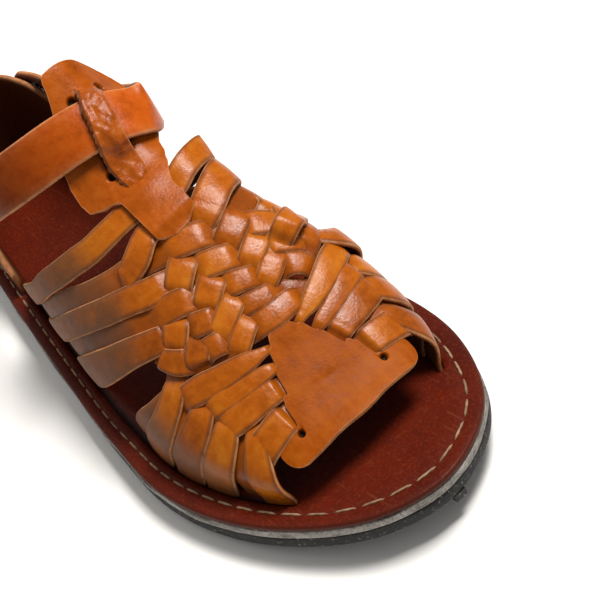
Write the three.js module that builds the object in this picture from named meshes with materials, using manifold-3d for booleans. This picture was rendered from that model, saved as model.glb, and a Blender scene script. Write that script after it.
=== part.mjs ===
// Woven leather sandal (huarache) for the right foot, empty and standing on its sole.
// Millimetres. Build frame: x runs from heel to toe, y to the medial side, z up from the
// floor. The finished group is moved so that its origin is the bottom centre of its box.
//
// Everything over the foot is laid out on one surface, the skin of the last. A place on it
// is (x, across): the station along the foot, and the distance measured around the foot
// from the sandal's middle plane, positive to the medial side. lift is the height off it.
import * as THREE from 'three';
import { mergeVertices } from 'three/addons/utils/BufferGeometryUtils.js';
import Module from 'manifold-3d';

const wasm = await Module();
wasm.setup();

// Driving dimensions
const LENGTH = 280;          // sole, heel to toe
const LUG_DEPTH = 2;         // tread bars under the rubber
const RUBBER = 5.2;          // tyre rubber outsole, without its bars
const MIDSOLE = 3.8;         // pale foam-rubber layer
const INSOLE = 2.7;          // leather the foot stands on
const TOE_LIFT = 8.6;        // toe spring at the tip
const SPRING_START = 0.7;    // part of the length where the toe spring begins
const GAP = 0.3;             // room between pieces that touch
const WALL = 3;              // the weave, two crossing leather strips thick
const LEATHER = 2.5;         // tongue, toe plate and ankle strap
const COUNTER_WALL = 3;      // heel counter
const STRAP_WIDTH = 19.5;
const BRIDGE_WIDTH = 9;      // leather loop of the tongue that holds the strap
const BRIDGE_LEATHER = 2.3;  // the loop is pared a little thinner
const MIDDLE_Y = 3;          // the sandal's middle plane over the forefoot
const GLUE_LINE = 0.1;       // between the layers of the sole
const STRAP_LIFT = 7.6;      // middle of the strap over the skin where it crosses the tongue
const PLATE_CLEAR = 0.9;     // along the foot, 0.3 mm square to the slanting edge

// Half widths of the sole on each side of the heel-to-toe line.
const SOLE_OUTLINE = [
  { x: 3.5, medial: 14, lateral: 14 },
  { x: 12, medial: 24.5, lateral: 24 },
  { x: 28, medial: 31, lateral: 31 },
  { x: 56, medial: 34, lateral: 35 },
  { x: 84, medial: 34, lateral: 40 },
  { x: 126, medial: 35, lateral: 47 },
  { x: 168, medial: 42, lateral: 53 },
  { x: 202, medial: 51.5, lateral: 54.5 },
  { x: 235, medial: 50.5, lateral: 45 },
  { x: 263, medial: 38, lateral: 26.5 },
  { x: 275, medial: 23.5, lateral: 11.5 },
];
const TOE_TIP_Y = 6;

// The skin of the last: the ridge it rises to, how far its foot stands in from the sole's
// edge, and how full each side is (2 is an ellipse, more is squarer).
const LAST = [
  { x: 70, ridgeZ: 146, ridgeY: 8, inset: 7, medialFull: 2, lateralFull: 2 },
  { x: 90, ridgeZ: 129, ridgeY: 9, inset: 7, medialFull: 2, lateralFull: 2 },
  { x: 110, ridgeZ: 111.5, ridgeY: 9, inset: 7, medialFull: 2, lateralFull: 2 },
  { x: 130, ridgeZ: 94.5, ridgeY: 10, inset: 7, medialFull: 2.2, lateralFull: 2 },
  { x: 150, ridgeZ: 81.5, ridgeY: 11, inset: 7, medialFull: 2.7, lateralFull: 2 },
  { x: 170, ridgeZ: 73, ridgeY: 12, inset: 7.5, medialFull: 3.3, lateralFull: 2 },
  { x: 190, ridgeZ: 63, ridgeY: 12, inset: 8, medialFull: 3.6, lateralFull: 2 },
  { x: 210, ridgeZ: 52, ridgeY: 10, inset: 8.5, medialFull: 3.8, lateralFull: 2.2 },
  { x: 230, ridgeZ: 41, ridgeY: 6, inset: 9, medialFull: 3.6, lateralFull: 2.6 },
  { x: 247, ridgeZ: 34, ridgeY: 3, inset: 9.5, medialFull: 3.2, lateralFull: 2.8 },
  { x: 262, ridgeZ: 30, ridgeY: 2, inset: 10, medialFull: 3.2, lateralFull: 2.8 },
];

// Rear and front edge of the woven vamp, at each share of the way from the middle plane
// (0) down to the insole (1). Both sides are alike. The front edge runs round the toe plate.
const VAMP_EDGE = [
  { down: 0, rear: 152, front: 213 },
  { down: 0.07, rear: 152, front: 213.4 },
  { down: 0.1, rear: 151.5, front: 217 },
  { down: 0.16, rear: 150, front: 224 },
  { down: 0.24, rear: 147.5, front: 231.5 },
  { down: 0.31, rear: 144, front: 237.2 },
  { down: 0.42, rear: 136.5, front: 237.6 },
  { down: 0.56, rear: 126, front: 237.4 },
  { down: 0.7, rear: 115, front: 240 },
  { down: 0.85, rear: 101, front: 242.5 },
  { down: 1, rear: 87, front: 242 },
];
const WINDOW = { apexX: 191, apexDown: 0.45, rearX: 151, frontX: 176 };

// The toe plate: its rear edge follows the vamp, its front edge is cut straight.
const PLATE_EDGE = [
  { across: 0, rear: 214, front: 249 },
  { across: 5, rear: 214.4, front: 249 },
  { across: 8, rear: 220.5, front: 249 },
  { across: 15, rear: 236, front: 248.6 },
  { across: 18, rear: 238.6, front: 248.3 },
  { across: 22, rear: 238.6, front: 247.6 },
  { across: 26, rear: 238.6, front: 245.5 },
  { across: 27.6, rear: 240, front: 243.4 },
];

// The tongue from its flared top to the fold over the front strips.
const TONGUE = [
  { x: 113.5, middle: 12.5, half: 5, lift: 3.2 },
  { x: 115, middle: 12.5, half: 9, lift: 3.2 },
  { x: 118, middle: 11.5, half: 11.5, lift: 3 },
  { x: 122, middle: 10.2, half: 13, lift: 2.8 },
  { x: 126, middle: 8.5, half: 15, lift: 2.6 },
  { x: 130, middle: 6.7, half: 17.3, lift: 2.4 },
  { x: 137, middle: 4.2, half: 20.7, lift: 2 },
  { x: 142, middle: 3, half: 20.5, lift: 1.6 },
  { x: 146, middle: 2.2, half: 19, lift: 1.1 },
  { x: 149.5, middle: 2.6, half: 14.5, lift: 0.6 },
  { x: 152.5, middle: 3, half: 9.5, lift: 0.5 },
  { x: 160, middle: 1.8, half: 7.5, lift: 0.4 },
  { x: 170, middle: 1.5, half: 7.5, lift: 0.4 },
  { x: 172.5, middle: 1.5, half: 5.5, lift: 0.4 },
];

// The loop cut from the tongue that the strap runs under, and the window it leaves.
const BRIDGE = [
  { x: 116.5, middle: 10.8, rise: 0 },
  { x: 119, middle: 10, rise: 0.05 },
  { x: 122.2, middle: 9, rise: 1 },
  { x: 134, middle: 6.2, rise: 1 },
  { x: 143, middle: 4.2, rise: 1 },
  { x: 147, middle: 3.4, rise: 0.05 },
  { x: 149.5, middle: 2.8, rise: 0 },
];
const BRIDGE_WINDOW = [
  { x: 119.5, middle: 9.9 },
  { x: 122.2, middle: 9 },
  { x: 134, middle: 6.2 },
  { x: 143, middle: 4.2 },
  { x: 146.5, middle: 3.5 },
];

// Middle line of the ankle strap: over the last's skin across the tongue, and along the
// outside of the heel counter at both ends (from = distance from the back of the heel).
const STRAP = [
  { from: -38, height: 45 },
  { from: -52, height: 47.5 },
  { from: -67, height: 52 },
  { from: -84, height: 60 },
  { x: 103, across: -52, lift: 5 },
  { x: 114.5, across: -35, lift: 7 },
  { x: 123.5, across: -19, lift: STRAP_LIFT },
  { x: 130, across: -3, lift: STRAP_LIFT },
  { x: 133, across: 9, lift: STRAP_LIFT },
  { x: 132, across: 20, lift: 8.2 },
  { x: 127, across: 29, lift: 7.6 },
  { x: 118, across: 41, lift: 4 },
  { x: 106, across: 55, lift: 2 },
  { from: 84, height: 59 },
  { from: 67, height: 52 },
  { from: 52, height: 47.5 },
  { from: 38, height: 45 },
];

// Top edge of the heel counter, by the distance from the back of the heel on either side.
const COUNTER_TOP = [
  { from: 0, height: 57 },
  { from: 40, height: 57 },
  { from: 52, height: 55 },
  { from: 60, height: 49 },
  { from: 75, height: 40 },
  { from: 88, height: 31 },
  { from: 98, height: 25 },
];
const COUNTER_BULGE = { height: 28, inset: 5, closing: 5, over: 30 };

// Tread: two rows of rubber blocks across the sole.
const TREAD = { first: 16, pitch: 20.7, count: 13, block: 13, margin: 5, groove: 5 };
const TREAD_NIB = { rear: 271.5, front: 275.5, lateral: 5.5, medial: 11, depth: 3.5 };

function smoothAt(rows, key, x) {
  // Value of a column at x, on a smooth curve through the rows.
  const last = rows.length - 1;
  let i = 0;
  while (i < last - 1 && rows[i + 1].x < x) i += 1;
  const slope = (k) => {
    const a = rows[Math.max(k - 1, 0)];
    const b = rows[Math.min(k + 1, last)];
    return (b[key] - a[key]) / (b.x - a.x);
  };
  const span = rows[i + 1].x - rows[i].x;
  const t = (x - rows[i].x) / span;
  const s = t * t * (3 - 2 * t);
  const start = rows[i][key] + slope(i) * span * t;
  const end = rows[i + 1][key] + slope(i + 1) * span * (t - 1);
  return start * (1 - s) + end * s;
}

function linearAt(rows, column, key, value) {
  // Value of a column where another column has the given value, on straight lines.
  let i = 0;
  while (i < rows.length - 2 && rows[i + 1][column] < value) i += 1;
  const t = (value - rows[i][column]) / (rows[i + 1][column] - rows[i][column]);
  return rows[i][key] + (rows[i + 1][key] - rows[i][key]) * THREE.MathUtils.clamp(t, 0, 1);
}

// ---- sole ----
const OUTLINE_POINTS = 800;
const EDGE = soleEdge();

function soleEdge() {
  // The sole's outline as two lists of points from heel to toe, one for each side.
  const medial = SOLE_OUTLINE.map((row) => new THREE.Vector3(row.x, row.medial, 0));
  const lateral = SOLE_OUTLINE.map((row) => new THREE.Vector3(row.x, -row.lateral, 0));
  const heel = new THREE.Vector3(0, 0, 0);
  const toe = new THREE.Vector3(LENGTH, TOE_TIP_Y, 0);
  const loop = [heel, ...medial, toe, ...lateral.reverse()];
  const points = new THREE.CatmullRomCurve3(loop, true, 'centripetal').getPoints(OUTLINE_POINTS);
  return {
    medial: points.filter((p) => p.y > TOE_TIP_Y * p.x / LENGTH),
    lateral: points.filter((p) => p.y <= TOE_TIP_Y * p.x / LENGTH).reverse(),
  };
}

function edgeY(side, x) {
  return linearAt(EDGE[side], 'x', 'y', x);
}

function spring(x) {
  const part = (x / LENGTH - SPRING_START) / (1 - SPRING_START);
  return part > 0 ? TOE_LIFT * part * part : 0;
}

const INSOLE_TOP = LUG_DEPTH + RUBBER + MIDSOLE + INSOLE;

// ---- skin of the last ----
const SECTION_STEPS = 120;
const FOOT_SHARE = 0.9995;   // share of the section used, just short of its end points
const SLOPE_STEP = 0.75;     // distance over which slopes of the skin are taken

function sectionSide(side, x) {
  // Where the section stands on the insole on one side, and how full it is.
  const sign = side === 'medial' ? 1 : -1;
  return {
    footY: edgeY(side, x) - sign * smoothAt(LAST, 'inset', x),
    power: 2 / smoothAt(LAST, `${side}Full`, x),
  };
}

function makeSection(x) {
  // Points from the lateral foot over the ridge to the medial foot: each side is a
  // superellipse quarter from the foot to the ridge.
  const medial = sectionSide('medial', x);
  const lateral = sectionSide('lateral', x);
  const ridgeY = smoothAt(LAST, 'ridgeY', x);
  const ridgeZ = smoothAt(LAST, 'ridgeZ', x);
  const footZ = INSOLE_TOP + GAP + spring(x);
  const points = [];
  for (let i = 0; i <= SECTION_STEPS; i += 1) {
    const angle = Math.PI * (i / SECTION_STEPS - 0.5);
    const { footY, power } = angle > 0 ? medial : lateral;
    const y = ridgeY + (footY - ridgeY) * Math.pow(Math.abs(Math.sin(angle)), power);
    const z = footZ + (ridgeZ - footZ) * Math.pow(Math.max(Math.cos(angle), 0), power);
    points.push(new THREE.Vector3(x, y, z));
  }
  return points;
}

const sections = new Map();

function section(x) {
  // A section's points with their distance around the foot from the middle plane.
  if (sections.has(x)) return sections.get(x);
  const points = makeSection(x);
  const rows = points.map((p) => ({ girth: 0, y: p.y, z: p.z }));
  for (let i = 1; i < rows.length; i += 1) {
    rows[i].girth = rows[i - 1].girth + points[i].distanceTo(points[i - 1]);
  }
  const middle = linearAt(rows, 'y', 'girth', MIDDLE_Y);
  rows.forEach((row) => { row.girth -= middle; });
  sections.set(x, rows);
  return rows;
}

function skinPoint(x, across) {
  const rows = section(x);
  const y = linearAt(rows, 'girth', 'y', across);
  const z = linearAt(rows, 'girth', 'z', across);
  return new THREE.Vector3(x, y, z);
}

function skinNormal(x, across) {
  const step = SLOPE_STEP;
  const along = skinPoint(x + step, across).sub(skinPoint(x - step, across));
  const around = skinPoint(x, across + step).sub(skinPoint(x, across - step));
  return along.cross(around).normalize();
}

function onSkin(x, across, lift) {
  return skinPoint(x, across).addScaledVector(skinNormal(x, across), lift);
}

function girthTo(side, x) {
  // Distance around the foot from the middle plane down to the insole, signed.
  const rows = section(x);
  return side === 'medial' ? rows[rows.length - 1].girth : rows[0].girth;
}

function acrossAt(down, x) {
  // Share of the way down (negative on the lateral side) as a distance around the foot.
  const side = down > 0 ? 'medial' : 'lateral';
  return Math.abs(down) * girthTo(side, x) * FOOT_SHARE;
}

// ---- heel counter surface ----
const HEEL_REACH = 110;      // stations behind this one belong to the heel's loop
const HEEL_LOOP = heelLoop();

function heelLoop() {
  // The sole's edge round the heel, with each point's distance from the back of the heel.
  const lateral = EDGE.lateral.filter((p) => p.x < HEEL_REACH).reverse();
  const medial = EDGE.medial.filter((p) => p.x < HEEL_REACH && p.x > 0);
  const rows = [...lateral, ...medial].map((p) => ({ from: 0, x: p.x, y: p.y }));
  for (let i = 1; i < rows.length; i += 1) {
    const step = Math.hypot(rows[i].x - rows[i - 1].x, rows[i].y - rows[i - 1].y);
    rows[i].from = rows[i - 1].from + step;
  }
  const back = linearAt(rows, 'y', 'from', 0);
  rows.forEach((row) => { row.from -= back; });
  return rows;
}

function heelEdge(from) {
  const x = linearAt(HEEL_LOOP, 'from', 'x', from);
  const y = linearAt(HEEL_LOOP, 'from', 'y', from);
  return new THREE.Vector3(x, y, 0);
}

function heelNormal(from) {
  const step = 4;
  const along = heelEdge(from + step).sub(heelEdge(from - step)).normalize();
  return new THREE.Vector3(-along.y, along.x, 0);
}

function counterPoint(from, height, lift) {
  // The counter leans in below and above the fullest part of the heel.
  const above = (height - COUNTER_BULGE.height) / COUNTER_BULGE.over;
  const inset = COUNTER_BULGE.inset + COUNTER_BULGE.closing * above * above;
  const point = heelEdge(from).addScaledVector(heelNormal(from), lift - inset);
  return point.setZ(height);
}

function counterNormal(from, height) {
  const step = 3;
  const along = counterPoint(from + step, height, 0).sub(counterPoint(from - step, height, 0));
  const up = counterPoint(from, height + step, 0).sub(counterPoint(from, height - step, 0));
  return up.cross(along).normalize();
}

// ---- solids ----
function gridSolid(rows, columns, outer, inner) {
  // A closed shell between two grids of points, outer(row, column) and inner(row, column).
  const positions = [];
  [outer, inner].forEach((face) => {
    for (let i = 0; i <= rows; i += 1) {
      for (let j = 0; j <= columns; j += 1) positions.push(...face(i, j).toArray());
    }
  });
  const at = (layer, i, j) => layer * (rows + 1) * (columns + 1) + i * (columns + 1) + j;
  const index = [];
  const quad = (a, b, c, d) => index.push(a, b, c, a, c, d);
  for (let i = 0; i < rows; i += 1) {
    for (let j = 0; j < columns; j += 1) {
      quad(at(0, i, j), at(0, i, j + 1), at(0, i + 1, j + 1), at(0, i + 1, j));
      quad(at(1, i, j), at(1, i + 1, j), at(1, i + 1, j + 1), at(1, i, j + 1));
    }
  }
  for (let i = 0; i < rows; i += 1) {
    quad(at(0, i, 0), at(0, i + 1, 0), at(1, i + 1, 0), at(1, i, 0));
    quad(at(0, i, columns), at(1, i, columns), at(1, i + 1, columns), at(0, i + 1, columns));
  }
  for (let j = 0; j < columns; j += 1) {
    quad(at(0, 0, j), at(1, 0, j), at(1, 0, j + 1), at(0, 0, j + 1));
    quad(at(0, rows, j), at(0, rows, j + 1), at(1, rows, j + 1), at(1, rows, j));
  }
  const geometry = new THREE.BufferGeometry();
  geometry.setAttribute('position', new THREE.Float32BufferAttribute(positions, 3));
  geometry.setIndex(signedVolume(positions, index) < 0 ? index.reverse() : index);
  return geometry;
}

function signedVolume(positions, index) {
  const corner = (k) => new THREE.Vector3().fromArray(positions, 3 * index[k]);
  let volume = 0;
  for (let k = 0; k < index.length; k += 3) {
    volume += corner(k).dot(corner(k + 1).cross(corner(k + 2))) / 6;
  }
  return volume;
}

function toManifold(geometry) {
  geometry.deleteAttribute('normal');
  geometry.deleteAttribute('uv');
  const merged = mergeVertices(geometry, 1e-4);
  return new wasm.Manifold(new wasm.Mesh({
    numProp: 3,
    vertProperties: new Float32Array(merged.attributes.position.array),
    triVerts: new Uint32Array(merged.index.array),
  }));
}

function fromManifold(solid) {
  const mesh = solid.getMesh();
  const geometry = new THREE.BufferGeometry();
  geometry.setAttribute('position', new THREE.BufferAttribute(mesh.vertProperties, 3));
  geometry.setIndex(new THREE.BufferAttribute(mesh.triVerts, 1));
  return geometry;
}

// ---- sole pieces ----
const SOLE_STATIONS = 44;

function soleLayer(bottom, thickness) {
  // A slab of the sole's outline that rises with the toe spring. Stations crowd together
  // towards both ends, where the outline is round.
  const station = (i) => {
    const share = (1 - Math.cos(Math.PI * i / SOLE_STATIONS)) / 2;
    return 0.05 + share * (LENGTH - 0.1);
  };
  const face = (z) => (i, j) => {
    const x = station(i);
    const y = THREE.MathUtils.lerp(edgeY('lateral', x), edgeY('medial', x), j / 2);
    return new THREE.Vector3(x, y, z + spring(x));
  };
  return gridSolid(SOLE_STATIONS, 2, face(bottom + thickness), face(bottom));
}

function treadBlock(rear, front, start, end, depth) {
  // One rubber block between two stations and two distances from the middle, joined half
  // a millimetre into the sole.
  const face = (z) => (i, j) => {
    const x = rear + (front - rear) * i / 2;
    return new THREE.Vector3(x, j === 0 ? start(x) : end(x), z + spring(x));
  };
  return toManifold(gridSolid(2, 1, face(LUG_DEPTH + 0.5), face(LUG_DEPTH - depth)));
}

function makeOutsole() {
  let sole = toManifold(soleLayer(LUG_DEPTH, RUBBER));
  const middle = (x) => (edgeY('lateral', x) + edgeY('medial', x)) / 2;
  for (let i = 0; i < TREAD.count; i += 1) {
    const rear = TREAD.first - TREAD.block / 2 + i * TREAD.pitch;
    const front = rear + TREAD.block;
    const lateral = (x) => edgeY('lateral', x) + TREAD.margin;
    const medial = (x) => edgeY('medial', x) - TREAD.margin;
    const half = TREAD.groove / 2;
    sole = sole.add(treadBlock(rear, front, lateral, (x) => middle(x) - half, LUG_DEPTH));
    sole = sole.add(treadBlock(rear, front, (x) => middle(x) + half, medial, LUG_DEPTH));
  }
  const nib = TREAD_NIB;
  const block = treadBlock(nib.rear, nib.front, () => nib.lateral, () => nib.medial, nib.depth);
  return fromManifold(sole.add(block));
}

// ---- vamp ----
function downSteps(rows, step) {
  // Shares of the way down, from the lateral foot to the medial one, with every row of the
  // table among them.
  const steps = [0];
  for (let i = 1; i < rows.length; i += 1) {
    const span = rows[i].down - rows[i - 1].down;
    const count = Math.ceil(span / step);
    for (let k = 1; k <= count; k += 1) steps.push(rows[i - 1].down + span * k / count);
  }
  return [...steps.slice(1).reverse().map((value) => -value), ...steps];
}

function makeVamp() {
  const downs = downSteps(VAMP_EDGE, 0.05);
  const columns = 12;
  const place = (i, j, lift) => {
    const share = Math.abs(downs[i]);
    const rear = linearAt(VAMP_EDGE, 'down', 'rear', share);
    const front = linearAt(VAMP_EDGE, 'down', 'front', share);
    const x = rear + (front - rear) * j / columns;
    return onSkin(x, acrossAt(downs[i], x), lift);
  };
  const outer = (i, j) => place(i, j, 0);
  const inner = (i, j) => place(i, j, -WALL);
  let vamp = toManifold(gridSolid(downs.length - 1, columns, outer, inner));
  [-1, 1].forEach((side) => { vamp = vamp.subtract(sideWindow(side)); });
  return fromManifold(vamp);
}

function sideWindow(side) {
  // The open triangle between the strips that run back and those that run forward. Its
  // last row is below the insole's surface, so that it is open underneath.
  const rows = 8;
  const place = (i, j, lift) => {
    const share = Math.min(i / (rows - 1), 1);
    const down = THREE.MathUtils.lerp(WINDOW.apexDown, 1, share);
    const rear = THREE.MathUtils.lerp(WINDOW.apexX - 1, WINDOW.rearX, share);
    const front = THREE.MathUtils.lerp(WINDOW.apexX + 1, WINDOW.frontX, share);
    const x = rear + (front - rear) * j / 3;
    const point = onSkin(x, acrossAt(side * down, x), lift);
    if (i === rows) point.z -= 2 * WALL;
    return point;
  };
  const outer = (i, j) => place(i, j, WALL);
  const inner = (i, j) => place(i, j, -2 * WALL);
  return toManifold(gridSolid(rows, 3, outer, inner));
}

// ---- toe plate ----
function vampFront(across) {
  // Station of the vamp's front edge at a distance from the middle plane.
  const side = across > 0 ? 'medial' : 'lateral';
  let x = 225;
  for (let i = 0; i < 12; i += 1) {
    const down = across / girthTo(side, x);
    x = (x + linearAt(VAMP_EDGE, 'down', 'front', Math.abs(down))) / 2;
  }
  return x;
}

function makeToePlate() {
  const reach = PLATE_EDGE[PLATE_EDGE.length - 1].across;
  const rows = 40;
  const columns = 6;
  const place = (i, j, lift) => {
    const across = reach * (2 * i / rows - 1);
    const corner = linearAt(PLATE_EDGE, 'across', 'rear', Math.abs(across));
    const rear = Math.max(vampFront(across) + PLATE_CLEAR, corner);
    const front = linearAt(PLATE_EDGE, 'across', 'front', Math.abs(across));
    return onSkin(rear + (front - rear) * j / columns, across, lift);
  };
  return gridSolid(rows, columns, (i, j) => place(i, j, 0), (i, j) => place(i, j, -LEATHER));
}

// ---- tongue ----
function chartSolid(table, half, rows, columns, bottom, top) {
  // A solid over the skin: the table gives its middle line by station, and bottom and top
  // its lift at each station.
  const first = table[0].x;
  const last = table[table.length - 1].x;
  const place = (i, j, lift) => {
    const x = THREE.MathUtils.lerp(first, last, i / rows);
    const across = linearAt(table, 'x', 'middle', x) + half(x) * (2 * j / columns - 1);
    return onSkin(x, across, lift(x));
  };
  return gridSolid(rows, columns, (i, j) => place(i, j, top), (i, j) => place(i, j, bottom));
}

function makeTongue() {
  // The flared plate, with a window cut in it and the loop's arch joined over the window.
  const half = (x) => linearAt(TONGUE, 'x', 'half', x);
  const lift = (x) => linearAt(TONGUE, 'x', 'lift', x);
  const plate = chartSolid(TONGUE, half, 34, 8, lift, (x) => lift(x) + LEATHER);
  const windowHalf = () => BRIDGE_WIDTH / 2 + GAP;
  const window = chartSolid(BRIDGE_WINDOW, windowHalf, 8, 3, () => -LEATHER, () => 3 * LEATHER);
  const rise = (x) => linearAt(BRIDGE, 'x', 'rise', x);
  const raised = STRAP_LIFT + LEATHER / 2 + 3 * GAP;
  const bottom = (x) => THREE.MathUtils.lerp(lift(x) + GLUE_LINE, raised, rise(x));
  const top = (x) => bottom(x) + BRIDGE_LEATHER;
  const loop = chartSolid(BRIDGE, () => BRIDGE_WIDTH / 2, 24, 3, bottom, top);
  return fromManifold(toManifold(plate).subtract(toManifold(window)).add(toManifold(loop)));
}

// ---- ankle strap ----
function strapFrame(row) {
  if (row.from === undefined) {
    const point = onSkin(row.x, row.across, row.lift);
    return { point, normal: skinNormal(row.x, row.across) };
  }
  const normal = counterNormal(row.from, row.height);
  const point = counterPoint(row.from, row.height, 0);
  return { point: point.addScaledVector(normal, 2 * GAP + LEATHER / 2), normal };
}

function makeStrap() {
  const frames = STRAP.map(strapFrame);
  const smooth = (key) => new THREE.CatmullRomCurve3(
    frames.map((frame) => frame[key]), false, 'centripetal');
  const path = smooth('point');
  const normals = new THREE.CatmullRomCurve3(frames.map((frame) => frame.normal));
  const steps = 72;
  const place = (i, j, lift) => {
    const t = i / steps;
    const along = path.getTangent(t);
    const normal = normals.getPoint(t);
    normal.addScaledVector(along, -normal.dot(along)).normalize();
    const side = new THREE.Vector3().crossVectors(along, normal);
    const width = STRAP_WIDTH * (j - 0.5);
    return path.getPoint(t).addScaledVector(side, width).addScaledVector(normal, lift);
  };
  return gridSolid(steps, 1, (i, j) => place(i, j, LEATHER / 2), (i, j) => place(i, j, -LEATHER / 2));
}

// ---- heel counter ----
function makeCounter() {
  const reach = COUNTER_TOP[COUNTER_TOP.length - 1].from;
  const rows = 56;
  const columns = 6;
  const floor = INSOLE_TOP + GAP;
  const place = (i, j, lift) => {
    const from = reach * (2 * i / rows - 1);
    const top = linearAt(COUNTER_TOP, 'from', 'height', Math.abs(from));
    return counterPoint(from, floor + (top - floor) * j / columns, lift);
  };
  const outer = (i, j) => place(i, j, 0);
  const inner = (i, j) => place(i, j, -COUNTER_WALL);
  return gridSolid(rows, columns, outer, inner);
}

// ---- the sandal ----
function piece(name, geometry, color, roughness) {
  const shape = geometry.index ? geometry.toNonIndexed() : geometry;
  shape.computeVertexNormals();
  const mesh = new THREE.Mesh(
    shape, new THREE.MeshStandardMaterial({ color, roughness, metalness: 0 }));
  mesh.name = name;
  return mesh;
}

const midsoleBottom = LUG_DEPTH + RUBBER + GLUE_LINE;
const insoleBottom = LUG_DEPTH + RUBBER + MIDSOLE + GLUE_LINE;
const sandal = new THREE.Group();
sandal.add(
  piece('outsole', makeOutsole(), 0x3d3834, 0.85),
  piece('midsole', soleLayer(midsoleBottom, MIDSOLE - GLUE_LINE), 0x948d87, 0.8),
  piece('insole', soleLayer(insoleBottom, INSOLE - GLUE_LINE), 0x622414, 0.5),
  piece('vamp', makeVamp(), 0xa04801, 0.45),
  piece('toe_plate', makeToePlate(), 0xa85a2a, 0.45),
  piece('tongue', makeTongue(), 0xbc6327, 0.45),
  piece('ankle_strap', makeStrap(), 0xb5622a, 0.45),
  piece('heel_counter', makeCounter(), 0x8c4a20, 0.5),
);

const box = new THREE.Box3().setFromObject(sandal);
const centre = box.getCenter(new THREE.Vector3());
sandal.position.set(-centre.x, -centre.y, -box.min.z);
sandal.updateMatrixWorld(true);

export default sandal;
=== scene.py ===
"""Woven leather sandal (huarache) for the right foot, laid out as a Blender add-on.

Shapes are worked out in millimetres in the maker's own frame: x from the heel to the toe,
y to the medial side, z up from the floor. to_frame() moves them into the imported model's
frame. Everything over the foot is laid on the skin of the last, where a place is
(x, across): the station along the foot and the distance around the foot from the sandal's
middle plane, positive to the medial side. lift is the height off the skin.
"""
import math

import bpy
import numpy as np
from mathutils import Matrix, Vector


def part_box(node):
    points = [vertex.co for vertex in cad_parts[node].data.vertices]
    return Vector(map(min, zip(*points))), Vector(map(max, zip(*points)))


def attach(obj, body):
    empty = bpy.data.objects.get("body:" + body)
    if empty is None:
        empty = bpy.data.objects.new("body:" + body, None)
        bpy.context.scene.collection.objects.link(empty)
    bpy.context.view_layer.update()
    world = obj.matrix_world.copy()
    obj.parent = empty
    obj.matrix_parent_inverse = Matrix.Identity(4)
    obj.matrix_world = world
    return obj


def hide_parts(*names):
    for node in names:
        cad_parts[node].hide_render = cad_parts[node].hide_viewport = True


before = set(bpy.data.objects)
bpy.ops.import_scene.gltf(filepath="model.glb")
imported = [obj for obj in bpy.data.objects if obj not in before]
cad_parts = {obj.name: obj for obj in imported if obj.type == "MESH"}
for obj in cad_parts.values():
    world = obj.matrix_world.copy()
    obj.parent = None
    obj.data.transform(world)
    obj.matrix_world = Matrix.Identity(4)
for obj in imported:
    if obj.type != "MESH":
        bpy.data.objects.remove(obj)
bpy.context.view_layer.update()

bl_info = {
    "name": "Woven sandal",
    "version": (1, 0, 0),
    "blender": (4, 5, 0),
    "location": "3D View > Sidebar > Sandal",
    "description": "Builds a woven leather sandal around its packed solids",
    "category": "Add Mesh",
}

# ---- sizes in millimetres ----
LENGTH = 280.0
LUG_DEPTH = 2.0
RUBBER = 5.2
MIDSOLE = 3.8
INSOLE = 2.7
INSOLE_TOP = LUG_DEPTH + RUBBER + MIDSOLE + INSOLE
FOOT_GAP = 0.3
TOE_LIFT = 8.6
SPRING_START = 0.7
MIDDLE_Y = 3.0         # the sandal's middle plane
TOE_TIP_Y = 6.0
LEATHER = 2.5          # thickness of the ankle strap
LOOP_THICKNESS = 2.3
COUNTER_WALL = 3.0
LAYER_GAP = 0.05       # left between the rubber and the foam
SPINE_ENDS = (26, 256)
MIDDLE_INSET = 12.0    # inset of the ring from which a layer's middle is closed
FACET_LOSS = 0.05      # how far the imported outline's flat facets cut off the heel's tip

# Half widths of the sole: x, medial, lateral
SOLE_OUTLINE = np.array([
    (3.5, 14, 14), (12, 24.5, 24), (28, 31, 31), (56, 34, 35), (84, 34, 40), (126, 35, 47),
    (168, 42, 53), (202, 51.5, 54.5), (235, 50.5, 45), (263, 38, 26.5), (275, 23.5, 11.5)])

# Skin of the last: x, ridge height, ridge y, inset of its foot, medial and lateral fullness
LAST = np.array([
    (70, 146, 8, 7, 2, 2), (90, 129, 9, 7, 2, 2), (110, 111.5, 9, 7, 2, 2),
    (130, 94.5, 10, 7, 2.2, 2), (150, 81.5, 11, 7, 2.7, 2), (170, 73, 12, 7.5, 3.3, 2),
    (190, 63, 12, 8, 3.6, 2), (210, 52, 10, 8.5, 3.8, 2.2), (230, 41, 6, 9, 3.6, 2.6),
    (247, 34, 3, 9.5, 3.2, 2.8), (262, 30, 2, 10, 3.2, 2.8)])

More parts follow.
